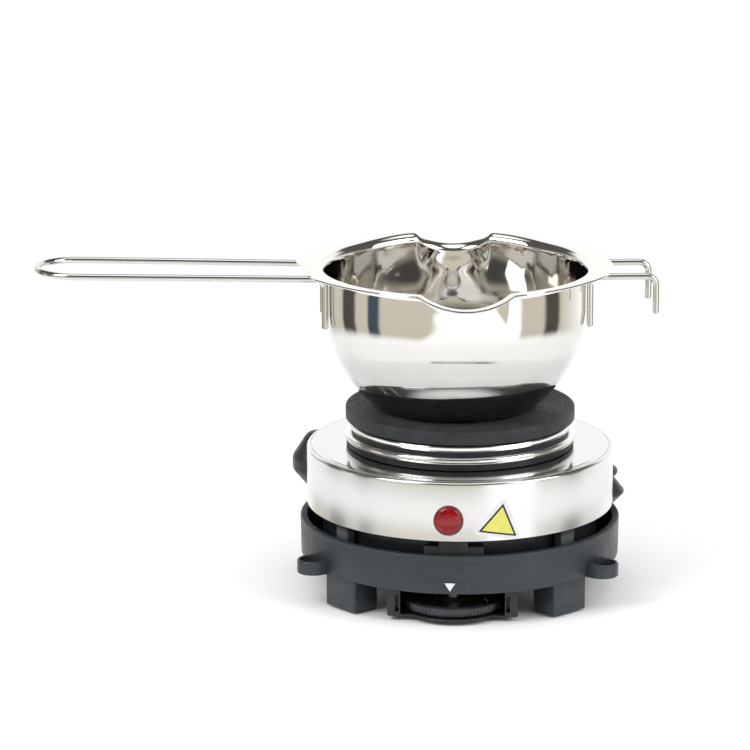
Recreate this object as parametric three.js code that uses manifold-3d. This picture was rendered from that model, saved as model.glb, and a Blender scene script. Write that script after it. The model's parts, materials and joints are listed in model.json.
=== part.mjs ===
// Candle melting pot: a stainless double-spout pot with a wire handle and hooks, standing on a small
// electric hot plate. Millimetres, +Z up, the stove's front faces -Y. The origin is on the floor, under
// the middle of the whole object's box.
import * as THREE from "three";
import { mergeVertices } from "three/addons/utils/BufferGeometryUtils.js";
import Module from "manifold-3d";

const wasm = await Module();
wasm.setup();

const DEG = Math.PI / 180;
const GAP = 0.3; // clearance between pieces that touch
const ROUND = 48; // facets round a large turned piece
const SMALL_ROUND = 16; // facets round a small turned piece

// Base: a shallow plastic pan on four legs
const BASE_R = 69.8;
const BASE_BOTTOM = 14.6;
const BASE_TOP = 31.3;
const BASE_WALL = 3;
const BASE_FLOOR = 3;
const LEG_WIDTH = 19;
const LEG_DEPTH = 13.3;
const LEG_OUTER = 68.9;
const LEG_BOTTOM = 0.7;
const LEG_ANGLES = { front_left: -137, front_right: -45, rear_right: 45, rear_left: 135 };
const PAD_R = 4.5;
const PAD_TOP = 2;
const LUG_ANGLES = [-148.6, -31.4];
const LUG_CENTRE_R = 73.2;
const LUG_R = 6.8;
const LUG_HEIGHT = 6;

// Thermostat dial under the front edge
const DIAL_R = 21.4;
const DIAL_X = -1.6; // the lamp, the dial and its guard sit a little left of the front
const DIAL_Y = -46.4;
const DIAL_BOTTOM = 3.3;
const DIAL_TOP = 7.3;
const DIAL_DISH = 0.8; // depth of the shallow dish in its top
const DIAL_FLOOR = 1.5; // what is left under the bore for the shaft
const DIAL_RIBS = 48;
const SHAFT_R = 3;
const GUARD_BOTTOM = 2;
const GUARD_PLATE = 0.9; // the thin plate under the dial
const GUARD_HALF = 28;
const GUARD_FRONT = -61;
const GUARD_REAR = -19;
const GUARD_ROOM = DIAL_R + 1.3;
const GUARD_SCREW = { x: 25.4, y: -34, radius: 2, head: 1.2 };

// Drum: the polished steel shell above the base
const DRUM_R = 66.9;
const DRUM_BOTTOM = 37.1;
const DRUM_TOP = 63.2;
const DRUM_SHEET = 1;
const SUPPORTS = [[-139, 7.5], [-91, 12.5], [-44, 8], [44, 8], [139, 7.5]]; // angle and width of each
const SUPPORT_DEPTH = 4.5;
const SUPPORT_R = 63.65;
const FRONT_EARS = { width: 25.6, top: 34.6 }; // low ears beside the front support
const LAMP_ANGLE = -92.8;
const LAMP_Z = 46.5;
const LAMP_FACE = DRUM_R + GAP;
const LENS_DOME = 2.4;
const LENS_R = 5.9;
const LABEL_ANGLE = -74.8;
const LABEL_Z = 39.9;
const LABEL_SIDE = 17;
const LABEL_TILT = -9.8;

// Hot plate and the collar that carries it
const PLATE_R = 50;
const PLATE_BOTTOM = 74.7;
const PLATE_TOP = 80.5;
const COLLAR_INNER = 43.5;
const COLLAR_WALL = 49.6;
const COLLAR_BEAD = 50.4;
const COLLAR_TOP = 70.9;
const TRIM_R = 48.4;
const BOSS_R = 5; // the plate's threaded boss
const BOSS_BOTTOM = 66;
const ELEMENT_INNER = 22;
const ELEMENT_OUTER = 40;
const ELEMENT_BOTTOM = 70.6;
const INSULATION_R = 42.5;
const INSULATION_BOTTOM = 66.6;
const TERMINAL_X = 28;
const TERMINAL_Y = 16;
const TERMINAL_R = 3;
const TERMINAL_BOTTOM = 44;
const SHIELD_R = 60;
const SHIELD_BOTTOM = 55;
const SHIELD_RIM = 5;
const SHIELD_SHEET = 1;
const BAR_LENGTH = 124;
const BAR_WIDTH = 14;
const BAR_BOTTOM = 38.2;
const BAR_TOP = 40.2;
const BOLT_R = 2.5;
const BOLT_HEAD_R = 4.6;
const BOLT_HEAD_BOTTOM = 34.4;

// Pot
const POT_X = -1.8; // the pot stands a little off the plate's centre
const POT_TURN = 4.35; // and is turned a little against the stove, in degrees
const POT_BOTTOM = PLATE_TOP + GAP;
const POT_R = 57.3;
const POT_BALL_R = 57.3;
const POT_BALL_Z = 126.5;
const POT_SHEET = 0.8;
const RIM_Z = 142.6;
const RIM_BEND = 3;
const SPOUTS = [
  { at: -88.6, half: 18.6, dip: 5.3 }, // middle and half width in degrees
  { at: 88, half: 16.3, dip: 6 },
];
const BACK_LIFT = 1.6; // the rim rises this much round the back spout
const BACK_LIFT_FULL = 17; // all of it within this angle of the spout's middle
const BACK_LIFT_END = 46;
const SPOUT_BEND = 14; // the dip fades out this far below the rim
const SPOUT_OUT = 2.8; // a spout is pressed out of the wall by this much
const SPOUT_TALL = 26;
const POT_ROUND = 72; // facets round the pot, a whole number for each spout
const WIRE_R = 1.45;
const WIRE_Z = 139.9;
const WIRE_BEND = 4;
const WIRE_BOTTOM = 118.5;
const HANDLE_HALF = 15.5;
const HANDLE_TIP_HALF = 16.7;
const HANDLE_REACH = 182.1;
const HANDLE_Z = 140;
const HANDLE_RISE = 3.6;
const HOOK_HALF = 14;
const HOOK_REACH = { front: 85.8, rear: 85.2 };
const HOOK_BOTTOM = 124;

// Mains inlet at the back of the base
const GLAND_Z = 24.5;
const GLAND_END = 80;
const GLAND_INNER = 62;
const GLAND_BORE = 3.3;
const GLAND_TUBE = 4.3;
const GLAND_HEAD = 6.4;
const WIRE_SLEEVE_R = 1.1;

const material = (color, roughness, metalness = 0) =>
  new THREE.MeshStandardMaterial({ color, roughness, metalness });
const MIRROR_STEEL = material(0xdadcde, 0.08, 1);
const DRUM_STEEL = material(0xd6d7d8, 0.18, 1);
const PLAIN_STEEL = material(0xa9abad, 0.4, 1);
const CAST_IRON = material(0x34363a, 0.75, 0.3);
const BASE_PLASTIC = material(0x3a4046, 0.6);
const BLACK_PLASTIC = material(0x1c1e21, 0.5);
const GREY_PLASTIC = material(0x7b7d80, 0.6);
const RUBBER = material(0x1a1a1a, 0.9);
const RED_LENS = material(0xc01818, 0.15);
const YELLOW_LABEL = material(0xf0dc20, 0.5);
const CERAMIC = material(0xd9d2c4, 0.8);
const WIRE_SLEEVE = material(0xb8b4aa, 0.7);

const group = new THREE.Group();
const stove = new THREE.Group();
const pot = new THREE.Group();

function addMesh(parent, name, geometry, finish) {
  const mesh = new THREE.Mesh(geometry, finish);
  mesh.name = name;
  parent.add(mesh);
  return mesh;
}

// A closed [radius, height] outline turned about Z. Outlines run up the outside and down the inside.
function turned(outline, segments = ROUND) {
  const points = outline.map(([r, z]) => new THREE.Vector2(r, z));
  return new THREE.LatheGeometry(points, segments).rotateX(Math.PI / 2);
}

// A washer-like ring between two radii and two heights.
function ring(inner, outer, bottom, top, segments = ROUND) {
  return turned(
    [
      [inner, bottom],
      [outer, bottom],
      [outer, top],
      [inner, top],
      [inner, bottom],
    ],
    segments,
  );
}

function disc(radius, bottom, top, segments = SMALL_ROUND) {
  return new THREE.CylinderGeometry(radius, radius, top - bottom, segments)
    .rotateX(Math.PI / 2)
    .translate(0, 0, (bottom + top) / 2);
}

function block(x, y, z, width, depth, height) {
  return new THREE.BoxGeometry(width, depth, height).translate(x, y, z + height / 2);
}

// Lays a piece that was made along Z so that it points outwards at an angle round the stove.
function pointOutwards(geometry, angle, z) {
  return geometry
    .rotateY(Math.PI / 2)
    .translate(0, 0, z)
    .rotateZ(angle * DEG);
}

function solidOf(geometry) {
  const bare = geometry.clone();
  bare.deleteAttribute("normal");
  bare.deleteAttribute("uv");
  const merged = mergeVertices(bare);
  return new wasm.Manifold(
    new wasm.Mesh({
      numProp: 3,
      vertProperties: merged.attributes.position.array,
      triVerts: new Uint32Array(merged.index.array),
    }),
  );
}

function geometryOf(solid) {
  const mesh = solid.getMesh();
  const geometry = new THREE.BufferGeometry();
  geometry.setAttribute("position", new THREE.BufferAttribute(mesh.vertProperties, 3));
  geometry.setIndex(new THREE.BufferAttribute(mesh.triVerts, 1));
  geometry.computeVertexNormals();
  return geometry;
}

function joined(...geometries) {
  return geometryOf(geometries.map(solidOf).reduce((sum, next) => sum.add(next)));
}

function cut(geometry, ...cutters) {
  return geometryOf(cutters.map(solidOf).reduce((rest, next) => rest.subtract(next), solidOf(geometry)));
}

function circleShape(radius, sides) {
  const shape = new THREE.Shape();
  for (let i = 0; i < sides; i++) {
    const angle = (2 * Math.PI * i) / sides;
    const point = [radius * Math.cos(angle), radius * Math.sin(angle)];
    if (i === 0) shape.moveTo(...point);
    else shape.lineTo(...point);
  }
  return shape;
}

// A round wire or cable along a curve.
function tube(curve, radius, steps, sides) {
  return new THREE.ExtrudeGeometry(circleShape(radius, sides), {
    extrudePath: curve,
    steps,
    bevelEnabled: false,
  });
}

// A path of straight runs with a quarter-round corner of one radius at each inner point.
function bentPath(points, radius) {
  const path = new THREE.CurvePath();
  let from = points[0];
  for (let i = 1; i < points.length - 1; i++) {
    const into = points[i].clone().sub(points[i - 1]).normalize();
    const away = points[i + 1].clone().sub(points[i]).normalize();
    const start = points[i].clone().addScaledVector(into, -radius);
    const end = points[i].clone().addScaledVector(away, radius);
    path.add(new THREE.LineCurve3(from, start));
    path.add(new THREE.QuadraticBezierCurve3(start, points[i], end));
    from = end;
  }
  path.add(new THREE.LineCurve3(from, points[points.length - 1]));
  return path;
}

// ---- Base ----

function makeBasePan() {
  const floorTop = BASE_BOTTOM + BASE_FLOOR;
  const inner = BASE_R - BASE_WALL;
  const pan = turned([
    [0, BASE_BOTTOM],
    [BASE_R - 0.6, BASE_BOTTOM],
    [BASE_R, BASE_BOTTOM + 0.6],
    [BASE_R, BASE_TOP - 0.5],
    [BASE_R - 0.5, BASE_TOP],
    [inner, BASE_TOP],
    [inner, floorTop],
    [0, floorTop],
  ]);
  const lugs = LUG_ANGLES.flatMap((angle) => {
    const bridge = block(LUG_CENTRE_R - 3, 0, BASE_BOTTOM, 6, 2 * LUG_R, LUG_HEIGHT);
    const round = disc(LUG_R, BASE_BOTTOM, BASE_BOTTOM + LUG_HEIGHT, 20).translate(LUG_CENTRE_R, 0, 0);
    return [bridge.rotateZ(angle * DEG), round.rotateZ(angle * DEG)];
  });
  const lugHollows = LUG_ANGLES.map((angle) =>
    disc(LUG_R - 2.2, BASE_BOTTOM + LUG_HEIGHT - 3.4, BASE_BOTTOM + LUG_HEIGHT + 5)
      .translate(LUG_CENTRE_R + 1.2, 0, 0)
      .rotateZ(angle * DEG),
  );
  const shaftHole = disc(SHAFT_R + 0.8, 0, BASE_TOP).translate(DIAL_X, DIAL_Y, 0);
  const glandHole = pointOutwards(disc(4.6, BASE_R - 10, BASE_R + 10), 90, GLAND_Z);
  return cut(joined(pan, ...lugs), ...lugHollows, shaftHole, glandHole);
}

function makeLeg() {
  const height = BASE_BOTTOM - GAP - LEG_BOTTOM;
  const post = block(LEG_OUTER - LEG_DEPTH / 2, 0, LEG_BOTTOM, LEG_DEPTH, LEG_WIDTH, height);
  const recess = disc(PAD_R + GAP, -1, PAD_TOP + GAP).translate(LEG_OUTER - LEG_DEPTH / 2, 0, 0);
  return cut(post, recess);
}

addMesh(stove, "base_pan", makeBasePan(), BASE_PLASTIC);
for (const [place, angle] of Object.entries(LEG_ANGLES)) {
  addMesh(stove, `leg_${place}`, makeLeg(), BASE_PLASTIC).rotation.z = angle * DEG;
  const pad = disc(PAD_R, 0, PAD_TOP).translate(LEG_OUTER - LEG_DEPTH / 2, 0, 0);
  addMesh(stove, `foot_pad_${place}`, pad, RUBBER).rotation.z = angle * DEG;
}

// Round service cover under the floor, with its screws.
const COVER_R = 34;
const COVER_Y = 18;
const COVER_BOTTOM = 12.7;
addMesh(
  stove,
  "bottom_cover",
  disc(COVER_R, COVER_BOTTOM, BASE_BOTTOM - GAP, 32).translate(0, COVER_Y, 0),
  PLAIN_STEEL,
);
for (const [i, angle] of [90, 210, 330].entries()) {
  const screw = disc(2.8, COVER_BOTTOM - GAP - 1.4, COVER_BOTTOM - GAP, 16);
  screw.translate((COVER_R - 5) * Math.cos(angle * DEG), COVER_Y + (COVER_R - 5) * Math.sin(angle * DEG), 0);
  addMesh(stove, `cover_screw_${i + 1}`, screw, PLAIN_STEEL);
}

// ---- Thermostat and its dial ----

function makeDial() {
  const ribs = new THREE.Shape();
  const steps = 2 * DIAL_RIBS;
  for (let i = 0; i < steps; i++) {
    const radius = DIAL_R - (i % 2 ? 0.55 : 0);
    const angle = (2 * Math.PI * i) / steps;
    const point = [radius * Math.cos(angle), radius * Math.sin(angle)];
    if (i === 0) ribs.moveTo(...point);
    else ribs.lineTo(...point);
  }
  const wheel = new THREE.ExtrudeGeometry(ribs, { depth: DIAL_TOP - DIAL_BOTTOM, bevelEnabled: false });
  wheel.translate(0, 0, DIAL_BOTTOM);
  const dish = ring(SHAFT_R + 3.5, DIAL_R - 4, DIAL_TOP - DIAL_DISH, DIAL_TOP + 5, 32);
  const bore = disc(SHAFT_R + GAP, DIAL_BOTTOM + DIAL_FLOOR, DIAL_TOP + 5);
  return cut(wheel, dish, bore).translate(DIAL_X, DIAL_Y, 0);
}

// The housing the dial turns in: a cheek on each side, a back, and a thin plate under the dial.
function makeDialGuard() {
  const height = BASE_BOTTOM - GAP - GUARD_BOTTOM;
  const middle = (GUARD_FRONT + GUARD_REAR) / 2;
  const body = block(DIAL_X, middle, GUARD_BOTTOM, 2 * GUARD_HALF, GUARD_REAR - GUARD_FRONT, height);
  const plateTop = GUARD_BOTTOM + GUARD_PLATE;
  const plate = disc(DIAL_R + 0.6, GUARD_BOTTOM, plateTop, 32).translate(DIAL_X, DIAL_Y, 0);
  const room = disc(GUARD_ROOM, plateTop, BASE_BOTTOM, 32).translate(DIAL_X, DIAL_Y, 0);
  const mouth = block(DIAL_X, DIAL_Y - 20, plateTop, 2 * GUARD_ROOM, 40, BASE_BOTTOM);
  return cut(joined(body, plate), room, mouth);
}

const THERMOSTAT_BOTTOM = BASE_BOTTOM + BASE_FLOOR + GAP;
const SHAFT_TOP = 25;
const shaftBottom = DIAL_BOTTOM + DIAL_FLOOR + GAP;
const thermostatBox = block(DIAL_X, DIAL_Y, THERMOSTAT_BOTTOM, 24, 20, 10);
const thermostatBore = disc(SHAFT_R + GAP, 10, SHAFT_TOP + GAP).translate(DIAL_X, DIAL_Y, 0);
addMesh(stove, "thermostat_dial", makeDial(), BLACK_PLASTIC);
addMesh(stove, "dial_shaft", disc(SHAFT_R, shaftBottom, SHAFT_TOP).translate(DIAL_X, DIAL_Y, 0), PLAIN_STEEL);
addMesh(stove, "thermostat", cut(thermostatBox, thermostatBore), CERAMIC);
addMesh(stove, "dial_guard", makeDialGuard(), BLACK_PLASTIC);
for (const [side, sign] of [["left", -1], ["right", 1]]) {
  const top = GUARD_BOTTOM - GAP;
  const screw = disc(GUARD_SCREW.radius, top - GUARD_SCREW.head, top, 16);
  screw.translate(DIAL_X + sign * GUARD_SCREW.x, GUARD_SCREW.y, 0);
  addMesh(stove, `guard_screw_${side}`, screw, PLAIN_STEEL);
}

// ---- Drum ----

function makeDrum() {
  const inner = DRUM_R - DRUM_SHEET;
  const edge = 2.2; // radius of the rounded top edge
  const outline = [
    [inner, DRUM_BOTTOM],
    [DRUM_R, DRUM_BOTTOM],
  ];
  const edgeSteps = 2;
  for (let i = 0; i <= edgeSteps; i++) {
    const angle = (i / edgeSteps) * 90 * DEG;
    outline.push([DRUM_R - edge + edge * Math.cos(angle), DRUM_TOP - edge + edge * Math.sin(angle)]);
  }
  outline.push(
    [COLLAR_INNER, DRUM_TOP],
    [COLLAR_INNER, DRUM_TOP - DRUM_SHEET],
    [inner - 1, DRUM_TOP - DRUM_SHEET],
    [inner, DRUM_TOP - DRUM_SHEET - 1],
    [inner, DRUM_BOTTOM],
  );
  const lampHole = pointOutwards(disc(5.7, DRUM_R - 8, DRUM_R + 8), LAMP_ANGLE, LAMP_Z);
  return cut(turned(outline), lampHole);
}

addMesh(stove, "drum_shell", makeDrum(), DRUM_STEEL);

// A black skirt stands on the pan's floor inside the supports and closes the gap below the drum.
const SKIRT_R = 60;
const supplyHole = pointOutwards(disc(3, SKIRT_R - 5, SKIRT_R + 5), 90, 24.2);
const skirt = ring(SKIRT_R - 1, SKIRT_R, BASE_BOTTOM + BASE_FLOOR + GAP, DRUM_BOTTOM + 0.7, 32);
addMesh(stove, "inner_skirt", cut(skirt, supplyHole), BLACK_PLASTIC);

const SUPPORT_BOTTOM = BASE_BOTTOM + BASE_FLOOR + GAP;
const supportHeight = DRUM_BOTTOM - GAP - SUPPORT_BOTTOM;
const earHeight = FRONT_EARS.top - SUPPORT_BOTTOM;
const frontEars = block(SUPPORT_R, 0, SUPPORT_BOTTOM, SUPPORT_DEPTH - 1, FRONT_EARS.width, earHeight);
for (const [i, [angle, width]] of SUPPORTS.entries()) {
  const post = block(SUPPORT_R, 0, SUPPORT_BOTTOM, SUPPORT_DEPTH, width, supportHeight);
  const support = i === 1 ? joined(post, frontEars) : post;
  addMesh(stove, `drum_support_${i + 1}`, support, GREY_PLASTIC).rotation.z = angle * DEG;
}

// Pilot lamp: a bezel tube through the drum wall, a domed red lens and the lamp behind it.
const bezel = [
  [4.9, LAMP_FACE - 14],
  [5.4, LAMP_FACE - 14],
  [5.4, LAMP_FACE],
  [6.6, LAMP_FACE],
  [6.6, LAMP_FACE + 1.8],
  [6.2, LAMP_FACE + 1.8],
  [6.2, LAMP_FACE + 0.8],
  [4.9, LAMP_FACE + 0.8],
  [4.9, LAMP_FACE - 14],
];
const lens = [
  [0, LAMP_FACE + 1.1],
  [LENS_R, LAMP_FACE + 1.1],
];
const lensSteps = 3;
for (let i = 0; i <= lensSteps; i++) {
  const angle = (i / lensSteps) * 90 * DEG;
  lens.push([LENS_R * Math.cos(angle), LAMP_FACE + 1.6 + LENS_DOME * Math.sin(angle)]);
}
addMesh(stove, "lamp_bezel", pointOutwards(turned(bezel, 16), LAMP_ANGLE, LAMP_Z), RED_LENS);
addMesh(stove, "lamp_lens", pointOutwards(turned(lens, 16), LAMP_ANGLE, LAMP_Z), RED_LENS);
addMesh(
  stove,
  "pilot_lamp",
  pointOutwards(disc(4.5, LAMP_FACE - 20, LAMP_FACE + 0.5), LAMP_ANGLE, LAMP_Z),
  CERAMIC,
);

// A plain triangular sticker that follows the drum's curve.
function makeLabel() {
  const geometry = new THREE.BoxGeometry(1, 1, 1, 6, 3, 1);
  const position = geometry.attributes.position;
  const height = LABEL_SIDE * Math.cos(30 * DEG);
  const tipWidth = 0.6;
  for (let i = 0; i < position.count; i++) {
    const up = position.getY(i) + 0.5;
    const across = position.getX(i) * (LABEL_SIDE + (tipWidth - LABEL_SIDE) * up);
    const tilted = new THREE.Vector2(across, up * height).rotateAround(new THREE.Vector2(), LABEL_TILT * DEG);
    const radius = DRUM_R + GAP + 0.125 + 0.25 * position.getZ(i);
    const angle = LABEL_ANGLE * DEG + tilted.x / DRUM_R;
    position.setXYZ(i, radius * Math.cos(angle), radius * Math.sin(angle), LABEL_Z + tilted.y);
  }
  return geometry;
}
addMesh(stove, "plain_label", makeLabel(), YELLOW_LABEL);

// A leaf-shaped pad turned about an upright axis near the drum's side, bulging most at its middle height.
function gripLeaf({ reach, thin, heights }) {
  const [bottom, low, high, top] = heights;
  const body = turned([
    [0, bottom],
    [GRIP_BOW - thin, bottom],
    [GRIP_BOW, low],
    [GRIP_BOW, high],
    [GRIP_BOW - thin, top],
    [0, top],
  ]);
  return body.translate(reach - GRIP_BOW, 0, 0);
}

// The grips sit behind the drum's widest line: one leaf on the left, two on the right, hollowed to fit.
const GRIP_BOW = 12;
const LEFT_LEAF = { reach: 81, thin: 7, heights: [35, 43, 49, 60] };
const RIGHT_LEAVES = [
  { reach: 75.3, thin: 4, heights: [31.8, 36, 37, 42] },
  { reach: 72.3, thin: 4.5, heights: [41, 45, 47, 48.2] },
];
const LEFT_BEHIND = 24; // degrees behind the drum's side
const RIGHT_BEHIND = 18;
const drumRoom = disc(DRUM_R + GAP, 0, 100, ROUND);
const leftGrip = cut(gripLeaf(LEFT_LEAF), drumRoom);
const rightGrip = cut(joined(...RIGHT_LEAVES.map(gripLeaf)), drumRoom);
addMesh(stove, "side_grip_left", leftGrip, BLACK_PLASTIC).rotation.z = Math.PI - LEFT_BEHIND * DEG;
addMesh(stove, "side_grip_right", rightGrip, BLACK_PLASTIC).rotation.z = RIGHT_BEHIND * DEG;

// ---- Hot plate, collar and what is under them ----

addMesh(
  stove,
  "collar_ring",
  turned([
    [COLLAR_INNER, DRUM_TOP + GAP],
    [COLLAR_WALL, DRUM_TOP + GAP],
    [COLLAR_WALL, 65.8],
    [COLLAR_BEAD, 66.5],
    [COLLAR_BEAD, 68.6],
    [COLLAR_WALL, 69.3],
    [COLLAR_WALL - 3, 69.3],
    [COLLAR_WALL - 3, COLLAR_TOP],
    [COLLAR_INNER, COLLAR_TOP],
    [COLLAR_INNER, DRUM_TOP + GAP],
  ]),
  MIRROR_STEEL,
);
addMesh(
  stove,
  "plate_trim_ring",
  turned([
    [COLLAR_INNER, COLLAR_TOP + GAP],
    [TRIM_R - 0.6, COLLAR_TOP + GAP],
    [TRIM_R, COLLAR_TOP + 0.9],
    [TRIM_R, PLATE_BOTTOM - 0.9],
    [TRIM_R - 0.6, PLATE_BOTTOM - GAP],
    [COLLAR_INNER, PLATE_BOTTOM - GAP],
    [COLLAR_INNER, COLLAR_TOP + GAP],
  ]),
  MIRROR_STEEL,
);
addMesh(
  stove,
  "hot_plate",
  turned([
    [0, BOSS_BOTTOM],
    [BOSS_R, BOSS_BOTTOM],
    [BOSS_R, PLATE_BOTTOM],
    [PLATE_R - 0.6, PLATE_BOTTOM],
    [PLATE_R, PLATE_BOTTOM + 0.6],
    [PLATE_R, PLATE_TOP - 0.8],
    [PLATE_R - 0.8, PLATE_TOP],
    [0, PLATE_TOP],
  ]),
  CAST_IRON,
);

const insulationTop = ELEMENT_BOTTOM - 0.4;
const terminalRoom = disc(TERMINAL_R + GAP, 50, 72).translate(TERMINAL_X, TERMINAL_Y, 0);
const element = ring(ELEMENT_INNER, ELEMENT_OUTER, ELEMENT_BOTTOM, PLATE_BOTTOM - GAP, 32);
const insulation = ring(BOSS_R + 0.5, INSULATION_R, INSULATION_BOTTOM, insulationTop, 32);
const terminal = disc(TERMINAL_R, TERMINAL_BOTTOM, insulationTop).translate(TERMINAL_X, TERMINAL_Y, 0);
const shieldTray = turned(
  [
    [BOSS_R - 1, SHIELD_BOTTOM],
    [SHIELD_R, SHIELD_BOTTOM],
    [SHIELD_R, SHIELD_BOTTOM + SHIELD_RIM],
    [SHIELD_R - SHIELD_SHEET, SHIELD_BOTTOM + SHIELD_RIM],
    [SHIELD_R - SHIELD_SHEET, SHIELD_BOTTOM + SHIELD_SHEET],
    [BOSS_R - 1, SHIELD_BOTTOM + SHIELD_SHEET],
    [BOSS_R - 1, SHIELD_BOTTOM],
  ],
  32,
);
addMesh(stove, "heating_element", element, PLAIN_STEEL);
addMesh(stove, "insulation_disc", cut(insulation, terminalRoom), CERAMIC);
addMesh(stove, "element_terminal", terminal, CERAMIC);
addMesh(stove, "heat_shield", cut(shieldTray, terminalRoom), PLAIN_STEEL);

const boltRoom = disc(BOLT_R + GAP, 0, 100);
const bar = block(0, 0, BAR_BOTTOM, BAR_LENGTH, BAR_WIDTH, BAR_TOP - BAR_BOTTOM);
const boltShank = disc(BOLT_R, 36, BOSS_BOTTOM - GAP);
const boltHead = disc(BOLT_HEAD_R, BOLT_HEAD_BOTTOM, BAR_BOTTOM - GAP, 6);
addMesh(stove, "clamp_bar", cut(bar, boltRoom), PLAIN_STEEL);
addMesh(stove, "centre_bolt", joined(boltShank, boltHead), PLAIN_STEEL);
addMesh(stove, "centre_nut", cut(disc(BOLT_HEAD_R, BAR_TOP + GAP, 44, 6), boltRoom), PLAIN_STEEL);

// ---- Mains inlet and wiring ----

addMesh(
  stove,
  "cable_gland",
  pointOutwards(
    turned(
      [
        [GLAND_BORE, GLAND_INNER],
        [GLAND_TUBE, GLAND_INNER],
        [GLAND_TUBE, BASE_R + GAP],
        [GLAND_HEAD, BASE_R + GAP],
        [GLAND_HEAD, GLAND_END - 5.5],
        [GLAND_HEAD - 1, GLAND_END - 4],
        [GLAND_HEAD - 1.6, GLAND_END],
        [GLAND_BORE, GLAND_END],
        [GLAND_BORE, GLAND_INNER],
      ],
      16,
    ),
    90,
    GLAND_Z,
  ),
  BLACK_PLASTIC,
);
addMesh(stove, "gland_nut", pointOutwards(ring(GLAND_TUBE + GAP, 6, GLAND_INNER + 0.6, 65.9, 12), 90, GLAND_Z), BLACK_PLASTIC);
addMesh(stove, "terminal_block", block(0, 34, THERMOSTAT_BOTTOM, 24, 10, 9), CERAMIC);

const WIRES = {
  wire_supply: [[0, 66, GLAND_Z], [0, 58, 24], [0, 50, 22], [0, 40.4, 22.5]],
  wire_thermostat: [[-8, 27.6, 22], [-20, 16, 20], [-32, -4, 20], [-22, -24, 20], [-9, -34.6, 22]],
  wire_element: [[8, 27.6, 22], [18, 23.5, 24], [26, 19, 32], [TERMINAL_X, TERMINAL_Y, 43.5]],
  wire_lamp: [[-2.3, -46.6, 46.5], [-10, -28, 47], [-13, 2, 45], [-9, 24, 34], [-4, 34, 28.4]],
};
for (const [name, route] of Object.entries(WIRES)) {
  const curve = new THREE.CatmullRomCurve3(route.map((p) => new THREE.Vector3(...p)));
  addMesh(stove, name, tube(curve, WIRE_SLEEVE_R, 10, 6), WIRE_SLEEVE);
}

// ---- Pot ----

// How far into a spout a direction lies: 1 in its middle, 0 outside it.
function spoutShare(spout, angle) {
  const across = (angle / DEG - spout.at) / spout.half;
  return Math.max(0, 1 - across * across);
}

// How far a point near the rim moves down in a spout, and up round the back spout.
function rimDip(angle) {
  const fromBack = Math.abs(angle / DEG - SPOUTS[1].at);
  const lift = BACK_LIFT * (1 - THREE.MathUtils.smoothstep(fromBack, BACK_LIFT_FULL, BACK_LIFT_END));
  return SPOUTS.reduce((sum, spout) => sum + spout.dip * spoutShare(spout, angle), -lift);
}

// The rim is drawn out over the handle and the hooks, and cut straight there: [normal, distance] of each cut.
const RIM_R = 64;
const RIM_TAB = 6;
const RIM_CUTS = [
  [[-0.981, -0.192], 65.6],
  [[0.9935, 0.1135], 67.8],
  [[0.982, -0.186], 67.2],
];
function rimRadius(angle) {
  let radius = RIM_R + RIM_TAB * Math.cos(angle) ** 8;
  for (const [[x, y], distance] of RIM_CUTS) {
    const facing = x * Math.cos(angle) + y * Math.sin(angle);
    if (facing > 0.5) radius = Math.min(radius, distance / facing);
  }
  return radius;
}

// The pot's sheet from the axis to the rim's outer edge, offset outwards from its inner face.
function potProfile(offset) {
  const ball = POT_BALL_R - POT_SHEET + offset;
  const floor = POT_BOTTOM + POT_SHEET - offset;
  const floorAngle = Math.asin((floor - POT_BALL_Z) / ball);
  const points = [[0, floor]];
  const ballSteps = 7;
  for (let i = 0; i <= ballSteps; i++) {
    const angle = floorAngle * (1 - i / ballSteps);
    points.push([ball * Math.cos(angle), POT_BALL_Z + ball * Math.sin(angle)]);
  }
  const bend = RIM_BEND + POT_SHEET - offset;
  const bendSteps = 3;
  for (let i = 0; i <= bendSteps; i++) {
    const angle = (i / bendSteps) * 90 * DEG;
    points.push([ball + bend - bend * Math.cos(angle), RIM_Z - RIM_BEND - POT_SHEET + bend * Math.sin(angle)]);
  }
  points.push([RIM_R, points[points.length - 1][1]]);
  return points;
}

function makeBowl() {
  const outline = [...potProfile(POT_SHEET), ...potProfile(0).reverse()];
  const geometry = turned(outline, POT_ROUND);
  const position = geometry.attributes.position;
  for (let i = 0; i < position.count; i++) {
    const [x, y, z] = [position.getX(i), position.getY(i), position.getZ(i)];
    const radius = Math.hypot(x, y);
    const angle = Math.atan2(y, x);
    const spout = SPOUTS.reduce((sum, each) => sum + spoutShare(each, angle), 0);
    const flare = THREE.MathUtils.clamp((radius - POT_R - RIM_BEND) / (RIM_R - POT_R - RIM_BEND), 0, 1);
    const tab = flare * (rimRadius(angle) - RIM_R);
    const pressedOut = SPOUT_OUT * spout * THREE.MathUtils.smoothstep(z, RIM_Z - SPOUT_TALL, RIM_Z);
    const scale = radius > 0 ? (radius + tab + pressedOut) / radius : 1;
    const dip = rimDip(angle) * THREE.MathUtils.smoothstep(z, RIM_Z - SPOUT_BEND, RIM_Z);
    position.setXYZ(i, x * scale, y * scale, z - dip);
  }
  return geometry;
}

const weldRadius = POT_R + GAP + WIRE_R;
const weldX = (half) => Math.sqrt(weldRadius ** 2 - half ** 2);

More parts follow.
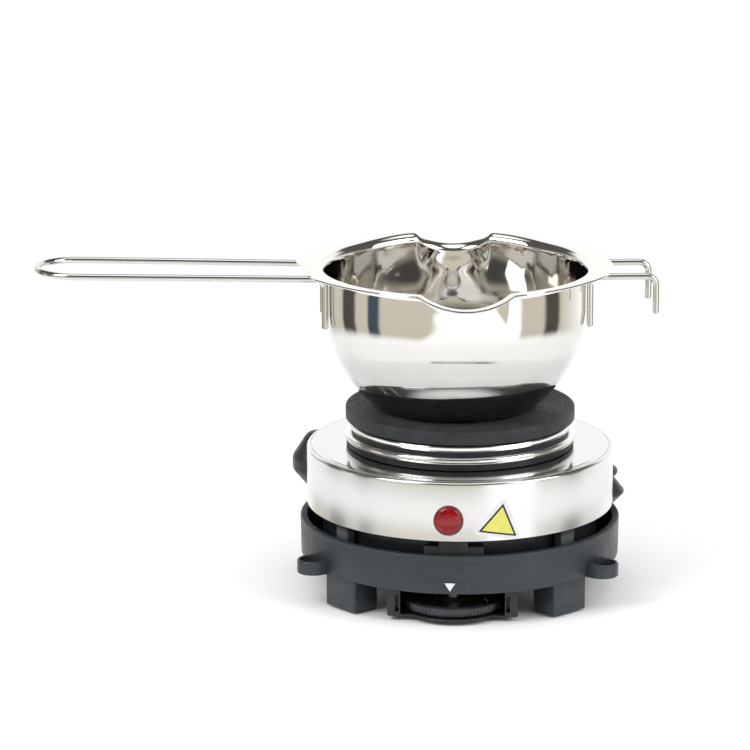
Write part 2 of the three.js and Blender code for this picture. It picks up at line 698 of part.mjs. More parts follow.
// One wire from a weld on the bowl, out to the round tip and back to a second weld.
function makeHandle() {
  const riseAt = (x) => HANDLE_Z + (HANDLE_RISE * Math.max(0, -x - weldX(HANDLE_HALF))) / HANDLE_REACH;
  const tipX = -(HANDLE_REACH - WIRE_R - HANDLE_TIP_HALF);
  const side = (sign) => [
    new THREE.Vector3(-weldX(HANDLE_HALF), sign * HANDLE_HALF, WIRE_BOTTOM),
    new THREE.Vector3(-weldX(HANDLE_HALF), sign * HANDLE_HALF, HANDLE_Z),
    new THREE.Vector3(tipX, sign * HANDLE_TIP_HALF, riseAt(tipX)),
  ];
  const path = bentPath(side(-1), WIRE_BEND);
  const tipSteps = 10;
  const tip = [];
  for (let i = 0; i <= tipSteps; i++) {
    const angle = (-90 - (180 * i) / tipSteps) * DEG;
    const x = tipX + HANDLE_TIP_HALF * Math.cos(angle);
    tip.push(new THREE.Vector3(x, HANDLE_TIP_HALF * Math.sin(angle), riseAt(x)));
  }
  const wayBack = bentPath(side(1), WIRE_BEND).getPoints(6).reverse();
  const points = [...path.getPoints(6), ...tip.slice(1, -1), ...wayBack];
  return wireAlong(points);
}

// A round wire through closely spaced points, a section at each point.
function wireAlong(points) {
  const sides = 8;
  const rings = points.map((point, i) => {
    const before = points[Math.max(0, i - 1)];
    const after = points[Math.min(points.length - 1, i + 1)];
    return { point, along: after.clone().sub(before).normalize() };
  });
  const vertices = [];
  let across = new THREE.Vector3(0, 1, 0);
  for (const { point, along } of rings) {
    across = across.clone().addScaledVector(along, -across.dot(along)).normalize();
    const third = along.clone().cross(across);
    for (let i = 0; i < sides; i++) {
      const angle = (2 * Math.PI * i) / sides;
      const spot = point.clone().addScaledVector(across, WIRE_R * Math.cos(angle));
      vertices.push(spot.addScaledVector(third, WIRE_R * Math.sin(angle)));
    }
  }
  const last = (rings.length - 1) * sides;
  const index = [];
  for (let r = 0; r < rings.length - 1; r++)
    for (let i = 0; i < sides; i++) {
      const [a, b] = [r * sides + i, r * sides + ((i + 1) % sides)];
      index.push(a, b, a + sides, b, b + sides, a + sides);
    }
  for (let i = 1; i < sides - 1; i++) index.push(0, i + 1, i, last, last + i, last + i + 1);
  const geometry = new THREE.BufferGeometry().setFromPoints(vertices);
  geometry.setIndex(index);
  geometry.computeVertexNormals();
  return geometry;
}

// A hook prong: up from its weld, straight out, and down at the end.
function makeHook(y, reach) {
  const corners = [
    new THREE.Vector3(weldX(HOOK_HALF), y, WIRE_BOTTOM),
    new THREE.Vector3(weldX(HOOK_HALF), y, WIRE_Z),
    new THREE.Vector3(reach, y, WIRE_Z),
    new THREE.Vector3(reach, y, HOOK_BOTTOM),
  ];
  return wireAlong(bentPath(corners, WIRE_BEND).getPoints(6));
}

addMesh(pot, "pot_bowl", makeBowl(), MIRROR_STEEL);
addMesh(pot, "pot_handle", makeHandle(), MIRROR_STEEL);
addMesh(pot, "hook_front", makeHook(-HOOK_HALF, HOOK_REACH.front), MIRROR_STEEL);
addMesh(pot, "hook_rear", makeHook(HOOK_HALF, HOOK_REACH.rear), MIRROR_STEEL);
pot.position.x = POT_X;
pot.rotation.z = POT_TURN * DEG;

// The whole object's box runs from the handle's tip to the front hook, and from the lens to the gland.
const turn = POT_TURN * DEG;
const farLeft = POT_X - (HANDLE_REACH - WIRE_R - HANDLE_TIP_HALF) * Math.cos(turn) - HANDLE_TIP_HALF - WIRE_R;
const farRight = POT_X + HOOK_REACH.front * Math.cos(turn) + HOOK_HALF * Math.sin(turn) + WIRE_R;
group.add(stove, pot);
const farFront = -(LAMP_FACE + 1.6 + LENS_DOME);
group.position.set(-(farLeft + farRight) / 2, -(farFront + GLAND_END) / 2, 0);

export default group;
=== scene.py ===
"""A stainless melting pot on a small electric hot plate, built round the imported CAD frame.

Metres, in the frame's own axes: the stove's front faces -Y, and the pot's handle points to -X.
Lengths that are easier to read in millimetres are written as a number times MM.
"""

import json
import math

import bmesh
import bpy
from mathutils import Matrix, Vector


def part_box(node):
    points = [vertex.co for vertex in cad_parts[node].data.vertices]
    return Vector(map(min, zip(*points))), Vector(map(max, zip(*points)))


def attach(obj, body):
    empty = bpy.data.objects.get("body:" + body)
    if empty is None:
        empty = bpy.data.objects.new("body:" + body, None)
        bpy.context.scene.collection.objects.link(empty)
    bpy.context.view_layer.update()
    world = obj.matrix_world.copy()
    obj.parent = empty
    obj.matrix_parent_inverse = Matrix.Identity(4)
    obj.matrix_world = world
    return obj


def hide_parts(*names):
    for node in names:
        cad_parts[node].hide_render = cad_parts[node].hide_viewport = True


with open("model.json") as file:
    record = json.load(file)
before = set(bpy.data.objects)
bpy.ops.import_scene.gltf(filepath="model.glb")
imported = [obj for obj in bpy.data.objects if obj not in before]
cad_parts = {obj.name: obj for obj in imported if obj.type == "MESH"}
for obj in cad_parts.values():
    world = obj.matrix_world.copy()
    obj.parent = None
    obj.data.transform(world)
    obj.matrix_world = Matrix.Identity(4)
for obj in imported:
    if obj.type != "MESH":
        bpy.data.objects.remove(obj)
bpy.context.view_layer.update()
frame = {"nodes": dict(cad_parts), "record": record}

MM = 0.001
FINE = 256  # facets round a large turned piece


def middle(node):
    low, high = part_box(node)
    return (low + high) / 2


def bottom_of(node):
    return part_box(node)[0].z


def top_of(node):
    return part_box(node)[1].z


def radius_of(node):
    low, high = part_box(node)
    return (high.x - low.x) / 2


def on_axis(point):
    return Vector((point.x, point.y, 0))


STOVE = on_axis(middle("drum_shell"))  # where the stove's upright axis meets the floor
POT = on_axis(middle("pot_bowl"))
DIAL = on_axis(middle("thermostat_dial"))
POT_TURN = math.radians(4.35)
LAMP_ANGLE = math.radians(-92.8)
GAP = 0.3 * MM  # between neighbouring CAD pieces
DRUM_R = radius_of("drum_shell")
CORE_R = 43.5 * MM  # the hole in the drum's top and inside the collar
PAN_R = 69.8 * MM
PAN_BOTTOM = top_of("leg_front_left") + GAP


# ---- Camera, floor and light ----


def make_camera():
    """A long lens, far off and a little above the pot's rim."""
    data = bpy.data.cameras.new("camera")
    data.sensor_width = 36
    data.lens = 209.6
    data.clip_end = 50
    camera = bpy.data.objects.new("camera", data)
    tilt, heading = 0.2472, math.radians(2.35)
    camera.location = STOVE + Vector((0.0385, -1.8442, 0.5587))
    camera.rotation_euler = (math.pi / 2 - tilt, 0, heading)
    bpy.context.scene.collection.objects.link(camera)
    bpy.context.scene.camera = camera


def area_light(name, place, size, power):
    """A square soft light that points at the pot."""
    data = bpy.data.lights.new(name, "AREA")
    data.size = size
    data.energy = power
    light = bpy.data.objects.new(name, data)
    light.location = STOVE + Vector(place)
    aim = STOVE + Vector((0, 0, 0.08)) - light.location
    light.rotation_mode = "QUATERNION"
    light.rotation_quaternion = aim.to_track_quat("-Z", "Y")
    bpy.context.scene.collection.objects.link(light)


class Tree:
    """Short ways to add and join nodes in a material's or the world's node tree."""

    def __init__(self, owner):
        owner.use_nodes = True
        self.tree = owner.node_tree

    def add(self, kind, inputs=None, **settings):
        node = self.tree.nodes.new(kind)
        for key, value in settings.items():
            setattr(node, key, value)
        for key, value in (inputs or {}).items():
            self.put(node.inputs[key], value)
        return node

    def put(self, socket, value):
        if isinstance(value, bpy.types.NodeSocket):
            self.tree.links.new(value, socket)
        else:
            socket.default_value = value

    def math(self, operation, a, b=0.0):
        return self.add("ShaderNodeMath", {0: a, 1: b}, operation=operation).outputs[0]

    def spread(self, value, low, high, to_low=0.0, to_high=1.0):
        """value, where it goes from low to high, as to_low to to_high, smoothly."""
        ranges = {"Value": value, "From Min": low, "From Max": high, "To Min": to_low, "To Max": to_high}
        return self.add("ShaderNodeMapRange", ranges, interpolation_type="SMOOTHSTEP").outputs[0]

    def ramp(self, value, stops):
        """A colour for each (place, colour) stop along value."""
        node = self.add("ShaderNodeValToRGB", {0: value})
        elements = node.color_ramp.elements
        while len(elements) < len(stops):
            elements.new(1.0)
        for element, (place, colour) in zip(elements, stops):
            element.position = place
            element.color = (*colour, 1)
        return node.outputs[0]

    def grey(self, value):
        return self.add("ShaderNodeCombineXYZ", {0: value, 1: value, 2: value}).outputs[0]

    def mix(self, share, a, b):
        node = self.add("ShaderNodeMix", data_type="RGBA")
        self.put(node.inputs[0], share)
        self.put(node.inputs[6], (*a, 1) if isinstance(a, tuple) else a)
        self.put(node.inputs[7], (*b, 1) if isinstance(b, tuple) else b)
        return node.outputs[2]


WHITE = (1.15, 1.15, 1.15)
SOFT_BOX = (1.5, 1.5, 1.5)
BEIGE = (0.70, 0.66, 0.56)
DARK = (0.09, 0.085, 0.075)
STEEL_BLUE = (0.07, 0.10, 0.13)
CEILING = (0.10, 0.10, 0.095)


def up(degrees):
    """Where an elevation lies from 0 to 1."""
    return degrees / 180 + 0.5


def walls(tree, round_front):
    """The studio's sides: each colour with the directions, in degrees from the front, where it is full."""
    spans = [
        (WHITE, -180, -150),
        (BEIGE, -140, -116),
        (DARK, -113, -98),
        (BEIGE, -95, -82),
        (STEEL_BLUE, -80, -70),
        (BEIGE, -67, 18),
        (SOFT_BOX, 24, 58),
        (BEIGE, 62, 84),
        (DARK, 88, 102),
        (BEIGE, 106, 106),
        (WHITE, 140, 180),
    ]
    stops = [(degrees / 360 + 0.5, colour) for colour, *ends in spans for degrees in ends]
    return tree.ramp(tree.math("ADD", tree.math("DIVIDE", round_front, 2 * math.pi), 0.5), stops)


def overhead(tree, height, round_front):
    """A dark ceiling round a soft box, with a white band low down behind the object."""
    above = [(up(12), BEIGE), (up(22), CEILING), (up(62), CEILING), (up(70), SOFT_BOX), (up(90), SOFT_BOX)]
    behind = [(up(28), WHITE), (up(34), CEILING), (up(60), CEILING), (up(68), SOFT_BOX)]
    is_behind = tree.spread(tree.math("ABSOLUTE", round_front), math.radians(125), math.radians(145))
    return tree.mix(is_behind, tree.ramp(height, above), tree.ramp(height, behind))


def table_strip(tree, height, round_front):
    """1 on a narrow strip of the table in front, which the bowl's belly reflects as a thin line."""
    above_edge = tree.spread(height, up(-43), up(-42.4))
    below_edge = tree.spread(height, up(-39.6), up(-40.2))
    from_left = tree.spread(round_front, math.radians(-26), math.radians(-22))
    to_right = tree.spread(round_front, math.radians(50), math.radians(28))
    low_strip = tree.math("MULTIPLY", above_edge, below_edge)
    return tree.math("MULTIPLY", low_strip, tree.math("MULTIPLY", from_left, to_right))


def diffuse_light(tree, height, round_front):
    """What lights matt surfaces: brighter from the sides, most from the left, and from above."""
    right_side = tree.spread(round_front, math.radians(20), math.radians(80), 0.0, 0.75)
    left_side = tree.spread(round_front, math.radians(-20), math.radians(-80), 0.3, 1.35)
    side_light = tree.math("ADD", left_side, right_side)
    side_light = tree.math("MULTIPLY", side_light, tree.spread(height, up(-30), up(0), 0.25, 1.0))
    return tree.mix(tree.spread(height, up(15), up(60)), tree.grey(side_light), (1.0, 1.0, 1.03))


def make_world():
    """White to the camera, and round the object a studio for it to reflect."""
    world = bpy.data.worlds.new("studio")
    bpy.context.scene.world = world
    tree = Tree(world)
    tree.tree.nodes.clear()
    place = tree.add("ShaderNodeTexCoord").outputs["Generated"]
    axes = tree.add("ShaderNodeSeparateXYZ", {0: place}).outputs
    round_front = tree.math("ARCTAN2", axes[0], tree.math("MULTIPLY", axes[1], -1.0))
    height = tree.math("ADD", tree.math("DIVIDE", tree.math("ARCSINE", axes[2]), math.pi), 0.5)
    above = overhead(tree, height, round_front)
    studio = tree.mix(tree.spread(height, up(8), up(14)), walls(tree, round_front), above)
    studio = tree.mix(tree.spread(height, up(-36), up(-23)), WHITE, studio)
    studio = tree.mix(table_strip(tree, height, round_front), studio, DARK)
    rays = tree.add("ShaderNodeLightPath").outputs
    shown = tree.mix(rays["Is Camera Ray"], studio, (1.0, 1.0, 1.0))
    shown = tree.mix(rays["Is Diffuse Ray"], shown, diffuse_light(tree, height, round_front))
    background = tree.add("ShaderNodeBackground", {"Color": shown, "Strength": 1.0})
    output = tree.add("ShaderNodeOutputWorld", {0: background.outputs[0]})
    output.is_active_output = True


def make_floor():
    """A round pale table top that fades into its surroundings, open where the bowl reflects the strip."""
    bpy.ops.mesh.primitive_circle_add(vertices=128, radius=0.6, fill_type="NGON", location=STOVE)
    floor = bpy.context.object
    floor.name = "floor"
    material = bpy.data.materials.new("floor")
    tree = Tree(material)
    tree.tree.nodes.clear()
    place = tree.add("ShaderNodeTexCoord").outputs["Object"]
    radius = tree.add("ShaderNodeVectorMath", {0: place}, operation="LENGTH").outputs["Value"]
    near_gap = tree.math("MULTIPLY", tree.spread(radius, 0.115, 0.135), tree.spread(radius, 0.19, 0.175))
    faded = tree.math("ADD", near_gap, tree.spread(radius, 0.3, 0.42))
    pale = tree.add("ShaderNodeBsdfDiffuse", {"Color": (0.93, 0.93, 0.93, 1)}).outputs[0]
    clear = tree.add("ShaderNodeBsdfTransparent").outputs[0]
    surface = tree.add("ShaderNodeMixShader", {0: faded, 1: pale, 2: clear}).outputs[0]
    tree.add("ShaderNodeOutputMaterial", {0: surface})
    floor.data.materials.append(material)


# ---- Materials ----


class Finish(Tree):
    """A material in the frame's own coordinates: a colour, a roughness and what varies them."""

    def __init__(self, name, colour, roughness, metallic=0.0, **settings):
        material = bpy.data.materials.new(name)
        super().__init__(material)
        self.material = material
        self.shader = self.tree.nodes["Principled BSDF"]
        self.colour = colour
        self.shader.inputs["Base Color"].default_value = (*colour, 1)
        self.shader.inputs["Roughness"].default_value = roughness
        self.shader.inputs["Metallic"].default_value = metallic
        for key, value in settings.items():
            self.shader.inputs[key.replace("_", " ")].default_value = value
        self.place = self.add("ShaderNodeTexCoord").outputs["Object"]
        self.height = None

    def level(self):
        """The height above the floor."""
        return self.add("ShaderNodeSeparateXYZ", {0: self.place}).outputs[2]

    def turned(self, centre):
        """Coordinates that only change with the distance from an upright axis and with height."""
        moved = self.add("ShaderNodeMapping", {0: self.place, "Location": -centre}).outputs[0]
        axes = self.add("ShaderNodeSeparateXYZ", {0: moved}).outputs
        flat = self.add("ShaderNodeCombineXYZ", {0: axes[0], 1: axes[1]}).outputs[0]
        radius = self.add("ShaderNodeVectorMath", {0: flat}, operation="LENGTH").outputs["Value"]
        return self.add("ShaderNodeCombineXYZ", {0: radius, 2: axes[2]}).outputs[0]

    def noise(self, size, detail=3.0, place=None):
        """Noise whose features are about size metres across, from 0 to 1."""
        inputs = {"Vector": place or self.place, "Scale": 1 / size, "Detail": detail}
        return self.add("ShaderNodeTexNoise", inputs).outputs[0]

    def cells(self, size):
        inputs = {"Vector": self.place, "Scale": 1 / size}
        return self.add("ShaderNodeTexVoronoi", inputs).outputs["Distance"]

    def vary_colour(self, value, other, low=0.35, high=0.65):
        share = self.spread(value, low, high)
        self.put(self.shader.inputs["Base Color"], self.mix(share, self.colour, other))
        return self

    def vary_roughness(self, value, least, most, low=0.3, high=0.7):
        self.put(self.shader.inputs["Roughness"], self.spread(value, low, high, least, most))
        return self

    def bump(self, value, depth, strength=1.0):
        inputs = {"Height": value, "Distance": depth, "Strength": strength}
        node = self.add("ShaderNodeBump", inputs)
        if self.height is not None:
            self.put(node.inputs["Normal"], self.height)
        self.height = node.outputs[0]
        self.put(self.shader.inputs["Normal"], self.height)
        return self


def mirror_steel():
    """Polished steel, painted darker towards the bowl's bottom: painted shade that dims the reflections low
    on the bowl.
    """
    finish = Finish("mirror_steel", (0.83, 0.815, 0.785), 0.05, 1.0)
    bottom = top_of("hot_plate")
    uneven = finish.math("MULTIPLY", finish.noise(9 * MM), 4 * MM)
    above = finish.math("SUBTRACT", finish.math("ADD", finish.level(), uneven), bottom + 2 * MM)
    stops = [
        (0.0, (0.26, 0.265, 0.265)),
        (0.27, (0.30, 0.305, 0.30)),
        (0.33, (0.56, 0.555, 0.54)),
        (0.44, (0.58, 0.575, 0.56)),
        (0.62, (0.69, 0.68, 0.65)),
        (0.76, (0.70, 0.69, 0.66)),
        (0.92, (0.81, 0.795, 0.765)),
    ]
    # Painted shade: the colour darkens down the bowl's lower belly to its bottom, with an uneven edge,
    # dimming its reflections there.
    painted_shade_tone = finish.ramp(finish.math("DIVIDE", above, 50 * MM), stops)
    finish.put(finish.shader.inputs["Base Color"], painted_shade_tone)
    finish.vary_roughness(finish.noise(14 * MM), 0.035, 0.085)
    finish.bump(finish.noise(20 * MM, 1.0), 0.04 * MM, 0.25)
    return finish.material


def drum_steel():
    finish = Finish("drum_steel", (0.75, 0.75, 0.745), 0.2, 1.0)
    brushed = finish.noise(0.35 * MM, 2.0, finish.turned(STOVE))
    top = top_of("drum_shell")
    finish.vary_roughness(finish.level(), 0.24, 0.11, top - 3 * MM, top - 0.6 * MM)
    finish.bump(brushed, 0.01 * MM, 0.25)
    return finish.material


def bright_metal(name, colour, patches, roughest, grain, depth, strength):
    finish = Finish(name, colour, 0.08, 1.0)
    finish.vary_roughness(finish.noise(patches), 0.06, roughest)
    finish.bump(finish.noise(grain), depth, strength)
    return finish.material


def cast_iron():
    finish = Finish("cast_iron", (0.028, 0.031, 0.035), 0.55, Specular_IOR_Level=0.3)
    finish.vary_colour(finish.noise(12 * MM), (0.040, 0.044, 0.048))
    finish.vary_roughness(finish.noise(1.5 * MM), 0.48, 0.68)
    finish.bump(finish.noise(0.4 * MM), 0.06 * MM, 0.6)
    return finish.material


def base_plastic():
    finish = Finish("base_plastic", (0.026, 0.033, 0.040), 0.42)
    finish.vary_colour(finish.noise(0.5 * MM), (0.040, 0.049, 0.057), 0.5, 0.7)
    finish.vary_roughness(finish.noise(8 * MM), 0.38, 0.5)
    finish.bump(finish.cells(0.45 * MM), 0.05 * MM, 0.5)
    return finish.material


def smooth_plastic(name, colour, roughness=0.38):
    finish = Finish(name, colour, roughness)
    lighter = tuple(channel * 1.3 for channel in colour)
    finish.vary_colour(finish.noise(7 * MM), lighter)
    finish.vary_roughness(finish.noise(3 * MM), roughness - 0.05, roughness + 0.08)
    finish.bump(finish.noise(0.6 * MM), 0.015 * MM, 0.4)
    return finish.material


def support_plastic():
    """Dark grey, painted darker still towards the drum as shade in the gap under it."""
    finish = Finish("grey_plastic", (0.055, 0.06, 0.064), 0.5)
    # Painted shade: near black from 35.6 mm up, in the dark gap between the pan and the drum.
    finish.vary_colour(finish.level(), (0.008, 0.009, 0.010), 34.2 * MM, 35.6 * MM)
    finish.bump(finish.noise(0.6 * MM), 0.02 * MM, 0.4)
    return finish.material


def zinc_steel():
    finish = Finish("zinc_steel", (0.55, 0.55, 0.54), 0.35, 1.0)
    finish.vary_roughness(finish.noise(2 * MM), 0.28, 0.45)
    finish.vary_colour(finish.noise(5 * MM), (0.44, 0.45, 0.45))
    finish.bump(finish.noise(0.5 * MM), 0.02 * MM, 0.4)
    return finish.material


def rubber():
    finish = Finish("rubber", (0.018, 0.018, 0.019), 0.75)
    finish.vary_roughness(finish.noise(1 * MM), 0.68, 0.85)
    finish.bump(finish.noise(0.4 * MM), 0.04 * MM, 0.5)
    return finish.material


def red_plastic():
    finish = Finish("red_plastic", (0.58, 0.012, 0.018), 0.08, 0.0, Transmission_Weight=0.55, IOR=1.49)
    finish.vary_colour(finish.noise(1.5 * MM), (0.42, 0.006, 0.01))
    finish.bump(finish.noise(0.7 * MM), 0.01 * MM, 0.2)
    return finish.material


def lamp_grid():
    finish = Finish("lamp_grid", (0.75, 0.10, 0.08), 0.2, 0.0, Coat_Weight=0.5)
    finish.vary_colour(finish.cells(1.1 * MM), (0.30, 0.008, 0.012), 0.2, 0.6)
    finish.bump(finish.cells(1.1 * MM), 0.35 * MM, 0.8)
    return finish.material


def vinyl(name, colour):
    finish = Finish(name, colour, 0.3)
    paler = tuple(min(1.0, channel * 0.93) for channel in colour)
    finish.vary_colour(finish.noise(3 * MM), paler)
    finish.bump(finish.noise(1.2 * MM), 0.008 * MM, 0.3)
    return finish.material


def matt(name, colour, roughness, other, patches, grain, strength):
    finish = Finish(name, colour, roughness)
    finish.vary_colour(finish.noise(patches), other)
    finish.bump(finish.noise(grain), 0.05 * MM, strength)
    return finish.material


# ---- Mesh tools ----


def piece(name, vertices, faces, material, body, slot, replaces=(), sharp=35):
    """A closed mesh that rides on a body and may stand for CAD nodes."""
    mesh = bpy.data.meshes.new(name)
    mesh.from_pydata([tuple(v) for v in vertices], [], faces)
    mesh.validate()
    return finished(name, mesh, material, body, slot, replaces, sharp)


def face_outwards(mesh):
    shape = bmesh.new()
    shape.from_mesh(mesh)
    bmesh.ops.recalc_face_normals(shape, faces=shape.faces)
    shape.to_mesh(mesh)
    shape.free()


def finished(name, mesh, material, body, slot, replaces=(), sharp=35):
    """An object of the mesh that rides on a body, with its material, slot and replaced CAD nodes."""
    mesh.materials.clear()
    mesh.materials.append(material)
    face_outwards(mesh)
    mesh.shade_smooth()
    mesh.set_sharp_from_angle(angle=math.radians(sharp))
    thing = bpy.data.objects.new(name, mesh)
    bpy.context.scene.collection.objects.link(thing)
    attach(thing, body)
    if replaces:
        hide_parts(*replaces)
    return thing


def arc_at(before, here, after, radius, steps):
    """The points of an arc that rounds the corner here."""
    back, forward = (before - here).normalized(), (after - here).normalized()
    half = back.angle(forward) / 2
    centre = here + (back + forward).normalized() * radius / math.sin(half)
    start = here + back * radius / math.tan(half) - centre
    end = here + forward * radius / math.tan(half) - centre
    return [centre + start.lerp(end, k / steps).normalized() * radius for k in range(steps + 1)]


def filleted(corners, steps=5):
    """An outline through (radius, height, fillet) corners, with an arc at each fillet."""
    spots = [Vector(corner[:2]) for corner in corners]
    points = []
    for i, (here, (_, _, fillet)) in enumerate(zip(spots, corners)):
        if fillet == 0:
            points.append(here)
        else:
            points += arc_at(spots[i - 1], here, spots[(i + 1) % len(spots)], fillet, steps)
    return points


def in_metres(corners):
    return [tuple(value * MM for value in corner) for corner in corners]


def stitched(rows):
    """Faces between each row of vertex numbers and the next, where a row can repeat one vertex."""
    faces = []
    for row, above in zip(rows, rows[1:]):
        for k in range(len(row)):
            after = (k + 1) % len(row)
            ring = list(dict.fromkeys([row[k], row[after], above[after], above[k]]))
            if len(ring) > 2:
                faces.append(ring)
    return faces


def lathe_mesh(outline, segments=FINE):
    """Vertices and faces of a closed outline of (radius, height) points turned about the Z axis."""
    vertices, rows = [], []
    for radius, height in outline:
        if radius < 1e-7:
            rows.append([len(vertices)] * segments)
            vertices.append(Vector((0, 0, height)))
            continue
        rows.append(list(range(len(vertices), len(vertices) + segments)))
        for k in range(segments):
            angle = 2 * math.pi * k / segments
            vertices.append(Vector((radius * math.cos(angle), radius * math.sin(angle), height)))
    return vertices, stitched(rows + rows[:1])


def turned_piece(name, corners, centre, *looks, segments=FINE, **options):
    """A turned piece about an upright axis through centre, from corners in metres."""
    vertices, faces = lathe_mesh(filleted(corners), segments)
    return piece(name, [v + centre for v in vertices], faces, *looks, **options)


def pointing_outwards(angle, height):
    """A matrix that turns a piece made along +Z to point away from the stove's axis."""
    return (
        Matrix.Translation(STOVE + Vector((0, 0, height)))
        @ Matrix.Rotation(angle, 4, "Z")
        @ Matrix.Rotation(math.pi / 2, 4, "Y")
    )


def block_mesh(low, high, bevel, segments):
    """A box with every edge rounded."""
    mesh = bmesh.new()
    bmesh.ops.create_cube(mesh, size=1)
    size = high - low
    bmesh.ops.scale(mesh, vec=size, verts=mesh.verts)
    bmesh.ops.translate(mesh, vec=(low + high) / 2, verts=mesh.verts)
    bmesh.ops.bevel(mesh, geom=mesh.edges[:], offset=bevel, segments=segments, profile=0.5, affect="EDGES")
    return mesh


def block_piece(low, high, bevel, segments, turn, name, *looks):
    """A box with rounded edges, turned into place, as a piece."""
    mesh = as_mesh(name, block_mesh(low, high, bevel, segments))
    mesh.transform(turn)
    return finished(name, mesh, *looks)


def as_mesh(name, source):
    mesh = bpy.data.meshes.new(name)
    source.to_mesh(mesh)
    source.free()
    return mesh


def carve(thing, cutters):
    """Take the cutters away from thing's mesh."""
    for cutter in cutters:
        modifier = thing.modifiers.new("carve", "BOOLEAN")
        modifier.operation = "DIFFERENCE"
        modifier.solver = "EXACT"
        modifier.object = cutter
    bpy.context.view_layer.update()
    evaluated = thing.evaluated_get(bpy.context.evaluated_depsgraph_get())
    mesh = bpy.data.meshes.new_from_object(evaluated)
    thing.modifiers.clear()
    thing.data = mesh
    for cutter in cutters:
        bpy.data.objects.remove(cutter)
    mesh.shade_smooth()
    mesh.set_sharp_from_angle(angle=math.radians(35))


def cutter_from(mesh):
    face_outwards(mesh)
    cutter = bpy.data.objects.new("cutter", mesh)
    bpy.context.scene.collection.objects.link(cutter)
    return cutter


def box_cutter(low, high, turn=None):
    mesh = as_mesh("cutter", block_mesh(low, high, 0.05 * MM, 1))
    if turn is not None:
        mesh.transform(turn)
    return cutter_from(mesh)


def rod(radius, bottom, top):
    """A plain cylinder's outline."""
    return [(0, bottom), (radius, bottom), (radius, top), (0, top)]


def turned_cutter(outline, place, segments):
    """A cutter turned about Z and then moved by a vector or a matrix."""
    vertices, faces = lathe_mesh(outline, segments)
    moved = [place @ v if isinstance(place, Matrix) else v + place for v in vertices]
    mesh = bpy.data.meshes.new("cutter")
    mesh.from_pydata([tuple(v) for v in moved], [], faces)
    return cutter_from(mesh)


def swept(points, radius, sides=24):
    """A round wire through closely spaced points, with its ends rounded over a little."""
    points = [Vector(p) for p in points]
    count = len(points)
    tangents = [
        (points[min(i + 1, count - 1)] - points[max(i - 1, 0)]).normalized() for i in range(count)
    ]
    sections = [(points[0] - tangents[0] * radius * 0.25, tangents[0], 0.75)]
    sections += [(p, t, 1.0) for p, t in zip(points, tangents)]
    sections.append((points[-1] + tangents[-1] * radius * 0.25, tangents[-1], 0.75))
    across = tangents[0].orthogonal().normalized()
    vertices = []
    for centre, along, scale in sections:
        across = (across - along * across.dot(along)).normalized()
        third = along.cross(across)
        for k in range(sides):
            angle = 2 * math.pi * k / sides
            spoke = across * math.cos(angle) + third * math.sin(angle)
            vertices.append(centre + spoke * radius * scale)
    faces = []
    for s in range(len(sections) - 1):
        for k in range(sides):
            a, b = s * sides + k, s * sides + (k + 1) % sides
            faces.append([a, b, b + sides, a + sides])
    faces.append(list(range(sides))[::-1])
    faces.append([len(vertices) - sides + k for k in range(sides)])
    return vertices, faces


def bent(corners, radius, steps=10):
    """Points along straight runs with a round bend at each inner corner."""
    corners = [Vector(c) for c in corners]
    points = [corners[0]]
    for before, here, after in zip(corners, corners[1:], corners[2:]):
        points += arc_at(before, here, after, radius, steps)
    points.append(corners[-1])
    return points


def wrapped_patch(name, outline, radius, thickness, *looks, rings=8, **options):
    """A thin convex patch on the drum or base, from (arc length from the front, height) points."""
    centroid = sum((Vector(p) for p in outline), Vector((0, 0))) / len(outline)
    rims = []
    vertices = []
    for lift in (0, thickness):
        for ring in range(rings + 1):
            share = ring / rings
            row = []
            for p in outline:
                flat = centroid.lerp(Vector(p), share)
                angle = flat.x / radius - math.pi / 2
                spoke = Vector((math.cos(angle), math.sin(angle), 0))
                row.append(len(vertices))
                vertices.append(STOVE + spoke * (radius + lift) + Vector((0, 0, flat.y)))
                if ring == 0:
                    break
            rims.append(row if ring else row * len(outline))
    faces = stitched(rims[: rings + 1] + rims[rings + 1 :][::-1])
    return piece(name, vertices, faces, *looks, **options)


def rounded_polygon(corners, radius, steps=6, divide=6):
    """A convex outline with rounded corners, its straight sides divided so that they can bend."""
    arcs = filleted([(x, y, radius) for x, y in corners], steps)
    per_corner = steps + 1
    points = []
    for i in range(len(corners)):
        arc = arcs[i * per_corner : (i + 1) * per_corner]
        points += arc
        following = arcs[((i + 1) * per_corner) % len(arcs)]
        points += [arc[-1].lerp(following, k / divide) for k in range(1, divide)]
    return points


def shrunk(corners, amount):
    """A triangle's corners moved in so that each side moves in by amount."""
    centroid = sum((Vector(c) for c in corners), Vector((0, 0))) / len(corners)
    mean = sum((Vector(c) - centroid).length for c in corners) / len(corners)
    return [tuple(centroid + (Vector(c) - centroid) * (1 - 2 * amount / mean)) for c in corners]


# ---- Pot ----

POT_R = 57.3 * MM
POT_BALL_Z = 126.5 * MM
POT_SHEET = 0.8 * MM
RIM_Z = 142.6 * MM
RIM_BEND = 3 * MM
SPOUTS = ((-88.6, 18.6, 5.3 * MM), (88, 16.3, 6 * MM))  # middle and half width in degrees, and dip
SPOUT_OUT = 2.8 * MM
BACK_LIFT = 1.6 * MM  # the rim rises this much round the back spout
WIRE_R = 1.45 * MM
WIRE_Z = 139.9 * MM
HANDLE_Z = 140 * MM
WIRE_BOTTOM = 118.5 * MM
EDGE_R = 64 * MM  # the rim's edge across the pot
EDGE_REACH = 6 * MM  # and how much further it goes at the handle and the hooks
RIM_CUTS = (  # straight cuts across the rim: which way each faces, and its distance from the axis
    ((-0.981, -0.192), 65.6 * MM),
    ((0.9935, 0.1135), 67.8 * MM),
    ((0.982, -0.186), 67.2 * MM),
)


def eased(value, low, high):
    share = min(1.0, max(0.0, (value - low) / (high - low)))
    return share * share * (3 - 2 * share)


def spout_shares(angle):
    """For each spout, 1 in its middle and 0 outside it."""
    degrees = (math.degrees(angle) + 180) % 360 - 180
    return [max(0.0, 1 - ((degrees - at) / half) ** 2) for at, half, _ in SPOUTS]


